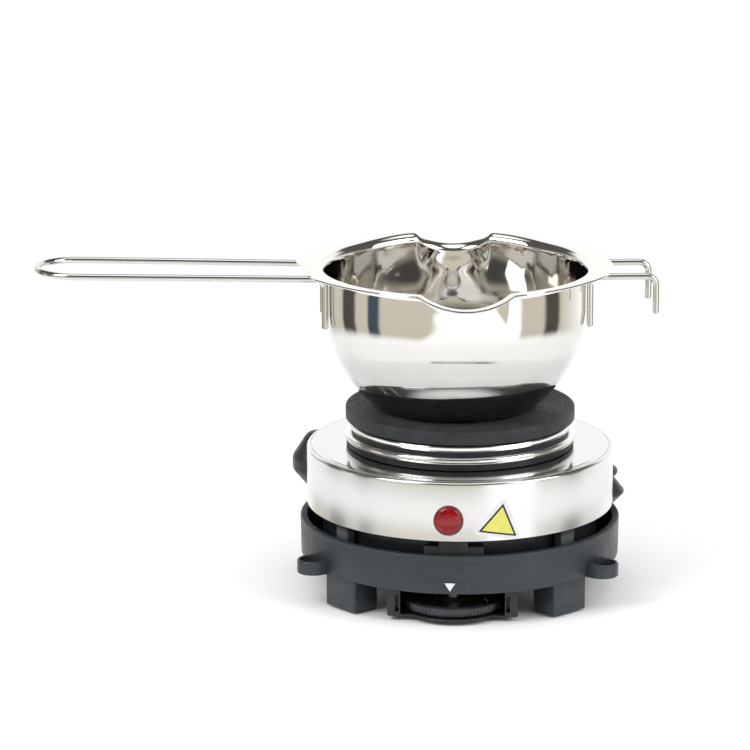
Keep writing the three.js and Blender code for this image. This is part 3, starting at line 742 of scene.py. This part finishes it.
def rim_dip(angle):
    """How far the rim goes down in a spout, less its rise round the back spout."""
    degrees = (math.degrees(angle) + 180) % 360 - 180
    lift = BACK_LIFT * (1 - eased(abs(degrees - SPOUTS[1][0]), 17, 46))
    return sum(share * dip for share, (_, _, dip) in zip(spout_shares(angle), SPOUTS)) - lift


def rim_edge(angle):
    """The rim's outer radius: round, drawn out over the handle and hooks, where it is cut straight."""
    edge = EDGE_R + EDGE_REACH * math.cos(angle) ** 8
    for (nx, ny), distance in RIM_CUTS:
        facing = nx * math.cos(angle) + ny * math.sin(angle)
        if facing > 0.5:
            edge = min(edge, distance / facing)
    return edge


def bowl_profile(offset):
    """(radius, height, share of the rim) from the axis to the rim, offset outwards from the inside."""
    ball = POT_R - POT_SHEET + offset
    floor = bottom_of("pot_bowl") + POT_SHEET - offset
    lowest = math.asin((floor - POT_BALL_Z) / ball)
    flat = ball * math.cos(lowest)
    points = [(flat * k / 6, floor, 0.0) for k in range(6)]
    steps = 36
    for k in range(steps + 1):
        angle = lowest * (1 - k / steps)
        points.append((ball * math.cos(angle), POT_BALL_Z + ball * math.sin(angle), 0.0))
    bend = RIM_BEND + POT_SHEET - offset
    wall_top = RIM_Z - RIM_BEND - POT_SHEET
    points += [(ball, POT_BALL_Z + (wall_top - POT_BALL_Z) * k / 8, 0.0) for k in range(1, 8)]
    for k in range(11):
        angle = math.radians(9 * k)
        points.append((ball + bend - bend * math.cos(angle), wall_top + bend * math.sin(angle), 0.0))
    radius, height, _ = points[-1]
    points += [(radius, height, share) for share in (0.25, 0.5, 0.75, 0.9, 1.0)]
    return points


def bowl_point(profile, angle):
    radius, height, share = profile
    radius += (rim_edge(angle) - radius) * share
    radius += SPOUT_OUT * sum(spout_shares(angle)) * eased(height, RIM_Z - 26 * MM, RIM_Z)
    height -= rim_dip(angle) * eased(height, RIM_Z - 14 * MM, RIM_Z)
    return Vector((radius * math.cos(angle), radius * math.sin(angle), height))


def make_bowl(steel):
    outer, inner = bowl_profile(POT_SHEET), bowl_profile(0.0)
    edge = (outer[-1][0], (outer[-1][1] + inner[-1][1]) / 2, 1.0)
    profiles = [*outer, edge, *inner[::-1]]
    segments = 288
    vertices, rows = [], []
    for profile in profiles:
        if profile[0] == 0:
            rows.append([len(vertices)] * segments)
            vertices.append(Vector((0, 0, profile[1])))
            continue
        rows.append(list(range(len(vertices), len(vertices) + segments)))
        grow = 0.3 * MM if profile is edge else 0.0
        for k in range(segments):
            angle = 2 * math.pi * k / segments - math.pi
            point = bowl_point(profile, angle)
            vertices.append(point + Vector((math.cos(angle), math.sin(angle), 0)) * grow)
    turn = Matrix.Translation(POT) @ Matrix.Rotation(POT_TURN, 4, "Z")
    vertices = [turn @ v for v in vertices]
    piece("bowl", vertices, stitched(rows), steel, "pot", "mirror_steel", ["pot_bowl"], sharp=50)


def make_wires(steel):
    """The handle's loop and the two hook prongs, each bent up from its weld on the bowl."""
    turn = Matrix.Translation(POT) @ Matrix.Rotation(POT_TURN, 4, "Z")
    bend = 4 * MM
    weld_radius = POT_R + 0.3 * MM + WIRE_R

    def weld_x(y):
        return math.sqrt(weld_radius**2 - y**2)

    handle_half, tip_half, reach, rise = 15.5 * MM, 16.7 * MM, 182.1 * MM, 3.6 * MM
    tip_x = -(reach - WIRE_R - tip_half)

    def height_at(x):
        return HANDLE_Z + rise * max(0.0, -x - weld_x(handle_half)) / reach

    def handle_side(sign):
        x, y = -weld_x(handle_half), sign * handle_half
        corners = [(x, y, WIRE_BOTTOM), (x, y, HANDLE_Z), (tip_x, sign * tip_half, height_at(tip_x))]
        return bent(corners, bend)

    tip = []
    steps = 40
    for k in range(1, steps):
        angle = -math.pi / 2 - math.pi * k / steps
        x = tip_x + tip_half * math.cos(angle)
        tip.append(Vector((x, tip_half * math.sin(angle), height_at(x))))
    loop = handle_side(-1) + tip + handle_side(1)[::-1]
    vertices, faces = swept([turn @ p for p in loop], WIRE_R)
    piece("handle_loop", vertices, faces, steel, "pot", "mirror_steel", ["pot_handle"])
    hook_half, hook_bottom = 14 * MM, 124 * MM
    for place, sign, end_x in (("front", -1, 85.8 * MM), ("rear", 1, 85.2 * MM)):
        x, y = weld_x(hook_half), sign * hook_half
        corners = [(x, y, WIRE_BOTTOM), (x, y, WIRE_Z), (end_x, y, WIRE_Z), (end_x, y, hook_bottom)]
        vertices, faces = swept([turn @ p for p in bent(corners, bend)], WIRE_R)
        piece(f"hook_prong_{place}", vertices, faces, steel, "pot", "mirror_steel", [f"hook_{place}"])


# ---- Hot plate and collar ----


def make_plate(iron):
    """The cast plate, with fine turned rings round a smooth middle."""
    radius, top = radius_of("hot_plate"), top_of("hot_plate")
    under = top_of("plate_trim_ring") + GAP
    pitch, depth = 1.25 * MM, 0.2 * MM
    margin, smooth_middle = 2.2 * MM, 11 * MM
    outline = [(0, under, 0), (radius, under, 0.8 * MM), (radius, top, 0.9 * MM)]
    points = filleted(outline + [(0, top, 0)])[:-1]
    ring = radius - margin
    while ring > smooth_middle:
        points += [
            Vector((ring, top)),
            Vector((ring - 0.25 * pitch, top - depth)),
            Vector((ring - 0.45 * pitch, top - depth)),
            Vector((ring - 0.7 * pitch, top)),
        ]
        ring -= pitch
    points.append(Vector((0, top)))
    vertices, faces = lathe_mesh(points)
    vertices = [v + STOVE for v in vertices]
    piece("cast_plate", vertices, faces, iron, "root", "cast_iron", ["hot_plate"], sharp=30)


def make_collar(steel, black):
    """Two bright rings round a near-black core that carries the plate; its black is painted shade for the
    groove and the wall under the rings.
    """
    bottom, ring_top = bottom_of("collar_ring"), top_of("plate_trim_ring")
    wall, waist, seat = 49.6 * MM, 47.4 * MM, 47 * MM
    step = bottom + 3.2 * MM
    core = [
        (CORE_R, bottom, 0),
        (wall, bottom, 0.3 * MM),
        (wall, step, 0),
        (waist, step, 0),
        (waist, ring_top, 0),
        (CORE_R, ring_top, 0),
    ]
    # The core's near-black is painted shade between and under the bright rings.
    turned_piece("collar_core", core, STOVE, black, "root", "cast_iron")
    bead_r, bead_bottom, bead_top = 50.4 * MM, bottom + 2.5 * MM, top_of("collar_ring") - 1.6 * MM
    bead = [
        (seat, bead_bottom, 0),
        (bead_r, bead_bottom, 1.2 * MM),
        (bead_r, bead_top, 1.5 * MM),
        (seat, bead_top, 0),
    ]
    turned_piece("collar_bead", bead, STOVE, steel, "root", "mirror_steel", replaces=["collar_ring"])
    trim_bottom, trim_top = bottom_of("plate_trim_ring"), ring_top - 0.4 * MM
    trim = [
        (seat, trim_bottom, 0),
        (48.6 * MM, trim_bottom, 0.8 * MM),
        (48.8 * MM, trim_top, 0.9 * MM),
        (seat, trim_top, 0),
    ]
    turned_piece("trim_bead", trim, STOVE, steel, "root", "mirror_steel", replaces=["plate_trim_ring"])


# ---- Drum, lamp, label and grips ----


def make_drum(steel):
    """The drum's sheet, with a fine groove and a low step round its top edge."""
    bottom, top = bottom_of("drum_shell"), top_of("drum_shell")
    sheet, shoulder, groove, step = 1 * MM, top - 0.3 * MM, top - 0.8 * MM, top - 0.2 * MM
    corners = [
        (DRUM_R - sheet, bottom, 0.2 * MM),
        (DRUM_R, bottom, 0.4 * MM),
        (DRUM_R, shoulder, 1.3 * MM),
        (DRUM_R - 1.5 * MM, shoulder, 0.05 * MM),
        (DRUM_R - 1.65 * MM, groove, 0.05 * MM),
        (DRUM_R - 1.85 * MM, groove, 0.05 * MM),
        (DRUM_R - 2.0 * MM, step, 0.05 * MM),
        (DRUM_R - 3.3 * MM, step, 0.1 * MM),
        (DRUM_R - 3.6 * MM, top, 0.2 * MM),
        (CORE_R, top, 0),
        (CORE_R, top - sheet, 0),
        (DRUM_R - sheet, shoulder - sheet, 0.4 * MM),
    ]
    turned_piece("drum", corners, STOVE, steel, "root", "drum_steel", replaces=["drum_shell"], sharp=40)


def make_lamp(rim, red, grid):
    """A thin dark red bezel, a domed clear red lens and the prismatic insert that shows through it."""
    place = pointing_outwards(LAMP_ANGLE, middle("lamp_bezel").z)

    def lamp_part(name, corners, material, slot, replaces):
        vertices, faces = lathe_mesh(filleted(in_metres(corners)), 64)
        lifted = [place @ (v + Vector((0, 0, DRUM_R))) for v in vertices]
        piece(name, lifted, faces, material, "root", slot, replaces)

    bezel = [
        (5.0, -8, 0),
        (5.5, -8, 0),
        (5.5, 0.1, 0),
        (6.4, 0.1, 0.2),
        (6.4, 1.4, 0.5),
        (5.8, 1.5, 0.2),
        (5.0, 0.4, 0),
    ]
    lamp_part("lamp_ring", bezel, rim, "red_lens", ["lamp_bezel"])
    lens = [(0, 0.9, 0), (5.5, 0.9, 0), (5.9, 1.4, 0), (5.6, 2.3, 0.5), (3.5, 3.2, 2.0), (0, 3.5, 0)]
    lamp_part("red_lens", lens, red, "red_lens", ["lamp_lens"])
    insert = [(0, -2, 0), (4.9, -2, 0), (4.9, 0.6, 0.2), (0, 0.6, 0)]
    lamp_part("lens_insert", insert, grid, "red_lens", [])


def make_label(white, black, yellow):
    """A blank yellow triangle with a black border on a white backing."""
    corners = in_metres([(9.4, 41.6), (26.2, 38.7), (20.1, 53.5)])
    layers = [
        ("label_backing", shrunk(corners, -1.5 * MM), 1.6 * MM, white, 0.02 * MM),
        ("label_border", corners, 0.25 * MM, black, 0.06 * MM),
        ("label_face", shrunk(corners, 0.8 * MM), 0.15 * MM, yellow, 0.10 * MM),
    ]
    for name, triangle, corner, material, lift in layers:
        outline = rounded_polygon(triangle, corner)
        replaces = ["plain_label"] if name == "label_face" else []
        wrapped_patch(name, outline, DRUM_R + lift, 0.04 * MM, material, "root", "label", replaces=replaces)


def make_grips(black):
    """Leaf-shaped grips behind the drum's sides, hollowed to the drum's curve."""
    bow = 12 * MM
    left, right = math.radians(180 - 24), math.radians(18)
    leaves = [
        ("grip_left", "side_grip_left", left, 81, 7, (35, 43, 49, 60)),
        ("grip_right", "side_grip_right", right, 75.3, 4, (31.8, 36, 37, 42)),
        ("grip_right_upper", "side_grip_right", right, 72.3, 4.5, (41, 45, 47, 48.2)),
    ]
    for name, node, angle, reach, taper, heights in leaves:
        bottom, low, high, top = (value * MM for value in heights)
        thin = taper * MM
        soft = 0.8 * (high - low)
        corners = [
            (0, bottom, 0),
            (bow - thin, bottom, soft),
            (bow, low, soft),
            (bow, high, soft),
            (bow - thin, top, soft),
            (0, top, 0),
        ]
        vertices, faces = lathe_mesh(filleted(corners), 160)
        centre = STOVE + Matrix.Rotation(angle, 3, "Z") @ Vector((reach * MM - bow, 0, 0))
        grip = piece(name, [v + centre for v in vertices], faces, black, "root", "black_plastic", [node])
        carve(grip, [turned_cutter(rod(DRUM_R + 0.1 * MM, 0, 0.1), STOVE, 192)])


# ---- Base ----


def make_pan(plastic):
    """The dark tray under the drum, with holes for the dial's shaft and the cable gland."""
    top = top_of("base_pan")
    wall, floor = 3 * MM, 3 * MM
    corners = [
        (0, PAN_BOTTOM, 0),
        (PAN_R - 0.3 * MM, PAN_BOTTOM, 0.5 * MM),
        (PAN_R, top, 0.5 * MM),
        (PAN_R - wall, top, 0.4 * MM),
        (PAN_R - wall, PAN_BOTTOM + floor, 0.5 * MM),
        (0, PAN_BOTTOM + floor, 0),
    ]
    pan = turned_piece("pan", corners, STOVE, plastic, "root", "base_plastic", replaces=["base_pan"])
    behind = pointing_outwards(math.pi / 2, middle("cable_gland").z)
    shaft_hole = turned_cutter(rod(3.8 * MM, 0, top), DIAL, 48)
    gland_hole = turned_cutter(rod(4.6 * MM, 50 * MM, 90 * MM), behind, 48)
    carve(pan, [shaft_hole, gland_hole])


def make_lugs(plastic):
    """D-shaped ears low on the base's front quarters, hollow on top."""
    reach, overlap, aside = 73.2 * MM, 4 * MM, 1.2 * MM
    for side, degrees in (("left", -148.6), ("right", -31.4)):
        corners = in_metres([(0, 0, 0), (6.8, 0, 0.6), (6.8, 6, 0.8), (0, 6, 0)])
        vertices, faces = lathe_mesh(filleted(corners), 96)
        place = (
            Matrix.Translation(STOVE + Vector((0, 0, PAN_BOTTOM)))
            @ Matrix.Rotation(math.radians(degrees), 4, "Z")
            @ Matrix.Translation((reach, 0, 0))
        )
        rooted = [place @ Vector((v.x - (overlap if v.x < 0 else 0), v.y, v.z)) for v in vertices]
        lug = piece(f"lug_{side}", rooted, faces, plastic, "root", "base_plastic")
        hollow = in_metres([(0, 1.6), (4.4, 1.6), (5.0, 9), (0, 9)])
        carve(lug, [turned_cutter(hollow, place @ Matrix.Translation((aside, 0, 0)), 64)])


def make_legs(plastic, soft):
    """Square posts with rounded edges, each with a rubber pad let into its foot."""
    half_deep, half_wide, pad_radius = 6.65 * MM, 9.5 * MM, 4.5 * MM
    for place in ("front_left", "front_right", "rear_right", "rear_left"):
        low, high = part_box(f"leg_{place}")
        centre = on_axis(middle(f"foot_pad_{place}"))
        spoke = centre - STOVE
        turn = Matrix.Translation(centre) @ Matrix.Rotation(math.atan2(spoke.y, spoke.x), 4, "Z")
        nearest = Vector((-half_deep, -half_wide, low.z))
        farthest = Vector((half_deep, half_wide, high.z + 1 * MM))
        looks = (f"post_{place}", plastic, "root", "base_plastic", [f"leg_{place}"])
        leg = block_piece(nearest, farthest, 1.0 * MM, 4, turn, *looks)
        carve(leg, [turned_cutter(rod(4.8 * MM, -1 * MM, 2.3 * MM), centre, 64)])
        node = f"foot_pad_{place}"
        foot, inside = bottom_of(node), top_of(node)
        corners = [(0, foot, 0), (pad_radius, foot, 0.5 * MM), (pad_radius, inside, 0.2 * MM), (0, inside, 0)]
        turned_piece(f"pad_{place}", corners, centre, soft, "root", "rubber", segments=64, replaces=[node])


def make_marks(smooth, white):
    """A smooth blank field on the base's front and the white pointer for the dial under it."""

    def arc(degrees):
        return math.radians(degrees + 90) * PAN_R

    left, right = arc(-102.6), arc(-80.2)
    corners = [(left, 20.6 * MM), (right, 20.6 * MM), (right, 28 * MM), (left, 28 * MM)]
    field = rounded_polygon(corners, 0.8 * MM, divide=12)
    wrapped_patch("front_field", field, PAN_R - 0.25 * MM, 0.33 * MM, smooth, "root", "base_plastic")
    left, right, point = arc(-93.9), arc(-90.2), arc(-92.05)
    pointer = [(point, 16.0 * MM), (right, 19.6 * MM), (left, 19.6 * MM)]
    outline = rounded_polygon(pointer, 0.15 * MM)
    wrapped_patch("dial_pointer", outline, PAN_R - 0.1 * MM, 0.18 * MM, white, "root", "base_plastic")


# ---- Dial and its guard ----


def make_dial(black, white):
    """A flat wheel with upright ribs round its edge, a dished top and a white tick in the dish."""
    bottom, top = bottom_of("thermostat_dial"), top_of("thermostat_dial")
    radius, dish, bore = 21.4 * MM, 17.6 * MM, 3.3 * MM
    ribs, per_rib, groove = 72, 6, 0.55 * MM
    dish_floor, bore_floor = top - 0.8 * MM, bottom + 1.5 * MM
    rows = [  # radius, height and how deep the grooves between the ribs are there, from 0 to 1
        (0, bottom, 0),
        (19.6 * MM, bottom, 0),
        (20.2 * MM, bottom + 0.1 * MM, 0.3),
        (21.1 * MM, bottom + 0.6 * MM, 1),
        (radius, bottom + 1.0 * MM, 1),
        (radius, top - 0.6 * MM, 1),
        (radius - 0.25 * MM, top - 0.2 * MM, 0.6),
        (radius - 0.8 * MM, top, 0),
        (dish, top, 0),
        (dish - 0.4 * MM, dish_floor, 0),
        (7.0 * MM, dish_floor, 0),
        (6.5 * MM, top - 0.2 * MM, 0),
        (6.2 * MM, top, 0),
        (bore, top, 0),
        (bore, bore_floor, 0),
        (0, bore_floor, 0),
    ]
    vertices, faces = lathe_mesh([(r, z) for r, z, _ in rows], ribs * per_rib)
    depth_at = {(round(r, 7), round(z, 7)): share for r, z, share in rows}
    shaped = []
    for v in vertices:
        flat = math.hypot(v.x, v.y)
        share = depth_at.get((round(flat, 7), round(v.z, 7)), 0)
        phase = math.atan2(v.y, v.x) * ribs
        cut = groove * share * (0.5 - 0.5 * math.cos(phase)) ** 0.7
        scale = (flat - cut) / flat if flat > 0 else 1
        shaped.append(Vector((v.x * scale, v.y * scale, v.z)) + DIAL)
    piece("dial_wheel", shaped, faces, black, "dial", "black_plastic", ["thermostat_dial"], sharp=40)
    start = STOVE + Vector((11.6 * MM, -45.2 * MM, 0))
    end = STOVE + Vector((13.7 * MM, -53.3 * MM, 0))
    size = Vector(((end - start).length, 0.9 * MM, 0.12 * MM))
    lift = Vector((0, 0, dish_floor + 0.03 * MM))
    turn = Matrix.Rotation(math.atan2(end.y - start.y, end.x - start.x), 4, "Z")
    place = Matrix.Translation((start + end) / 2 + lift) @ turn
    block_piece(-size / 2, size / 2, 0.05 * MM, 2, place, "dial_tick", white, "dial", "black_plastic")


def make_guard(black):
    """The housing under the pan that the dial turns in, open at the front, with a slot in each cheek."""
    low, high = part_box("dial_guard")
    half, front, room, plate_r = 28 * MM, STOVE.y - 61 * MM, 22.4 * MM, 22.2 * MM
    nearest = Vector((DIAL.x - half, front, low.z))
    farthest = Vector((DIAL.x + half, high.y, high.z + GAP))
    looks = ("guard", black, "root", "black_plastic", ["dial_guard"])
    guard = block_piece(nearest, farthest, 0.9 * MM, 4, Matrix.Identity(4), *looks)
    under, over = low.z + 0.9 * MM, high.z - 0.8 * MM
    ahead = Vector((-room, -40 * MM, under))
    behind = Vector((room, 0, over))
    cutters = [turned_cutter(rod(room, under, over), DIAL, 128), box_cutter(DIAL + ahead, DIAL + behind)]
    for sign in (-1, 1):
        slot = Vector((DIAL.x + sign * 23.8 * MM, front, low.z))
        lowest = slot + Vector((-0.8 * MM, -2 * MM, 2.2 * MM))
        highest = slot + Vector((0.8 * MM, 4 * MM, 9.5 * MM))
        cutters.append(box_cutter(lowest, highest))
    carve(guard, cutters)
    bottom, top = low.z + 0.03 * MM, under - 0.03 * MM
    corners = [(0, bottom, 0), (plate_r, bottom, 0.4 * MM), (plate_r, top, 0.3 * MM), (0, top, 0)]
    turned_piece("guard_plate", corners, DIAL, black, "root", "black_plastic", segments=128)


# ---- Small fittings ----


def make_screw(name, node, steel):
    """A pan-head screw seen from below, with a cross recess."""
    bottom, top = bottom_of(node), top_of(node)
    centre, radius = on_axis(middle(node)), radius_of(node)
    corners = [
        (0, bottom, 0),
        (radius * 0.55, bottom, radius * 0.3),
        (radius, bottom + 0.6 * MM, radius * 0.2),
        (radius, top, 0),
        (0, top, 0),
    ]
    screw = turned_piece(name, corners, centre, steel, "root", "plain_steel", segments=48, replaces=[node])
    cutters = []
    reach, half = radius * 0.55, radius * 0.12
    for angle in (0, math.pi / 2):
        turn = Matrix.Translation(centre) @ Matrix.Rotation(angle + 0.4, 4, "Z")
        lowest = Vector((-reach, -half, bottom - 0.5 * MM))
        highest = Vector((reach, half, bottom + 0.7 * MM))
        cutters.append(box_cutter(lowest, highest, turn))
    carve(screw, cutters)


def make_cover(steel):
    """The service cover under the pan, with a raised rim."""
    bottom, top = bottom_of("bottom_cover"), top_of("bottom_cover")
    radius = radius_of("bottom_cover")
    corners = [
        (0, bottom + 0.5 * MM, 0),
        (radius - 9 * MM, bottom + 0.5 * MM, 0.3 * MM),
        (radius - 9.6 * MM, bottom, 0.3 * MM),
        (radius, bottom, 0.5 * MM),
        (radius, top, 0.1 * MM),
        (0, top, 0),
    ]
    centre = on_axis(middle("bottom_cover"))
    turned_piece("service_cover", corners, centre, steel, "root", "plain_steel", replaces=["bottom_cover"])


def make_gland(black):
    """The flanged sleeve in the pan's back that a supply lead would enter by."""
    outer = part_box("cable_gland")[1].y - STOVE.y
    corners = in_metres(
        [
            (3.3, 62, 0.2),
            (4.3, 62, 0.2),
            (4.3, 70.1, 0),
            (6.4, 70.1, 0.4),
            (6.4, 73.4, 0.8),
            (5.4, 74.2, 0.2),
            (5.4, 75.6, 0.2),
            (4.9, 75.6, 0.2),
            (4.9, 76.8, 0.2),
            (5.2, 76.8, 0.2),
        ]
    )
    corners += [(5.0 * MM, outer, 0.4 * MM), (3.3 * MM, outer, 0.4 * MM)]
    vertices, faces = lathe_mesh(filleted(corners), 64)
    place = pointing_outwards(math.pi / 2, middle("cable_gland").z)
    moved = [place @ v for v in vertices]
    piece("inlet_gland", moved, faces, black, "root", "black_plastic", ["cable_gland"])


def make_supports(grey, black):
    """The blocks that hold the drum above the pan, with rounded edges; the front one has low ears."""
    inner, face, widths = 61.4 * MM, 65.9 * MM, (7.5, 12.5, 8, 8, 7.5)
    ear_face, ear_top, ears_width = 65.4 * MM, 34.6 * MM, 25.6
    for i, width in enumerate(widths, start=1):
        node = f"drum_support_{i}"
        low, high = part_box(node)
        spoke = on_axis((low + high) / 2) - STOVE
        turn = Matrix.Translation(STOVE) @ Matrix.Rotation(math.atan2(spoke.y, spoke.x), 4, "Z")
        blocks = [(f"support_{i}", width, face, high.z + GAP, [node])]
        if i == 2:
            blocks.append(("support_ears", ears_width, ear_face, ear_top, []))
        for name, across, outer, top, replaces in blocks:
            half = across / 2 * MM
            nearest, farthest = Vector((inner, -half, low.z)), Vector((outer, half, top))
            # The front support and its ears take the near-black material: painted shade under the drum.
            looks = (name, black if i == 2 else grey, "root", "grey_plastic", replaces)
            block_piece(nearest, farthest, 0.5 * MM, 3, turn, *looks)


def dress_cad_nodes(finishes):
    """Procedural materials for every CAD node that still shows, by its record slot."""
    slots = {row["node"]: row["material_slot"] for row in frame["record"]["subparts"]}
    for node, thing in frame["nodes"].items():
        if thing.hide_render:
            continue
        thing.data.materials.clear()
        thing.data.materials.append(finishes[slots[node]])


def main():
    bpy.context.scene.view_settings.view_transform = "Standard"
    make_camera()
    make_world()
    make_floor()
    area_light("key", (-0.9, -0.7, 1.1), 0.7, 9)
    area_light("fill", (1.0, -0.5, 0.8), 0.8, 6)
    steel, drum = mirror_steel(), drum_steel()
    wire = bright_metal("wire_steel", (0.66, 0.655, 0.64), 6 * MM, 0.12, 0.8 * MM, 0.01 * MM, 0.3)
    bright = bright_metal("chrome", (0.82, 0.82, 0.82), 5 * MM, 0.16, 0.5 * MM, 0.015 * MM, 0.4)
    iron, plastic = cast_iron(), base_plastic()
    black = smooth_plastic("black_plastic", (0.016, 0.018, 0.021))
    # A near-black copy of the black plastic, painted shade for the collar's core and the front support.
    painted_shade_black = smooth_plastic("painted_shade_black", (0.01, 0.01, 0.011), 0.5)
    smooth = smooth_plastic("field_plastic", (0.024, 0.031, 0.038), 0.34)
    grey = support_plastic()
    leg_plastic = smooth_plastic("leg_plastic", (0.026, 0.032, 0.038), 0.36)
    zinc, soft = zinc_steel(), rubber()
    red, grid = red_plastic(), lamp_grid()
    lamp_rim = smooth_plastic("lamp_rim", (0.11, 0.004, 0.008), 0.25)
    yellow = vinyl("yellow_vinyl", (0.86, 0.83, 0.17))
    white, ink = vinyl("white_vinyl", (0.88, 0.89, 0.90)), vinyl("black_vinyl", (0.012, 0.012, 0.012))
    ceramic = matt("ceramic", (0.62, 0.58, 0.52), 0.7, (0.52, 0.48, 0.42), 4 * MM, 0.5 * MM, 0.5)
    sleeve = matt("wire_sleeve", (0.42, 0.40, 0.36), 0.65, (0.34, 0.32, 0.29), 1 * MM, 0.3 * MM, 0.6)
    make_bowl(steel)
    make_wires(wire)
    make_plate(iron)
    make_collar(bright, painted_shade_black)
    make_drum(drum)
    make_lamp(lamp_rim, red, grid)
    make_label(white, ink, yellow)
    make_grips(black)
    make_pan(plastic)
    make_lugs(leg_plastic)
    make_legs(leg_plastic, soft)
    make_marks(smooth, white)
    make_dial(smooth_plastic("dial_plastic", (0.032, 0.035, 0.040), 0.3), white)
    make_guard(black)
    make_cover(zinc)
    for place in ("cover_1", "cover_2", "cover_3", "guard_left", "guard_right"):
        holder, which = place.split("_")
        make_screw(f"{holder}_bolt_{which}", f"{holder}_screw_{which}", zinc)
    make_gland(black)
    make_supports(grey, painted_shade_black)
    dress_cad_nodes(
        {
            "base_plastic": plastic,
            "black_plastic": black,
            "grey_plastic": grey,
            "mirror_steel": steel,
            "drum_steel": drum,
            "plain_steel": zinc,
            "cast_iron": iron,
            "rubber": soft,
            "red_lens": red,
            "label": yellow,
            "ceramic": ceramic,
            "wire_sleeve": sleeve,
        }
    )


main()
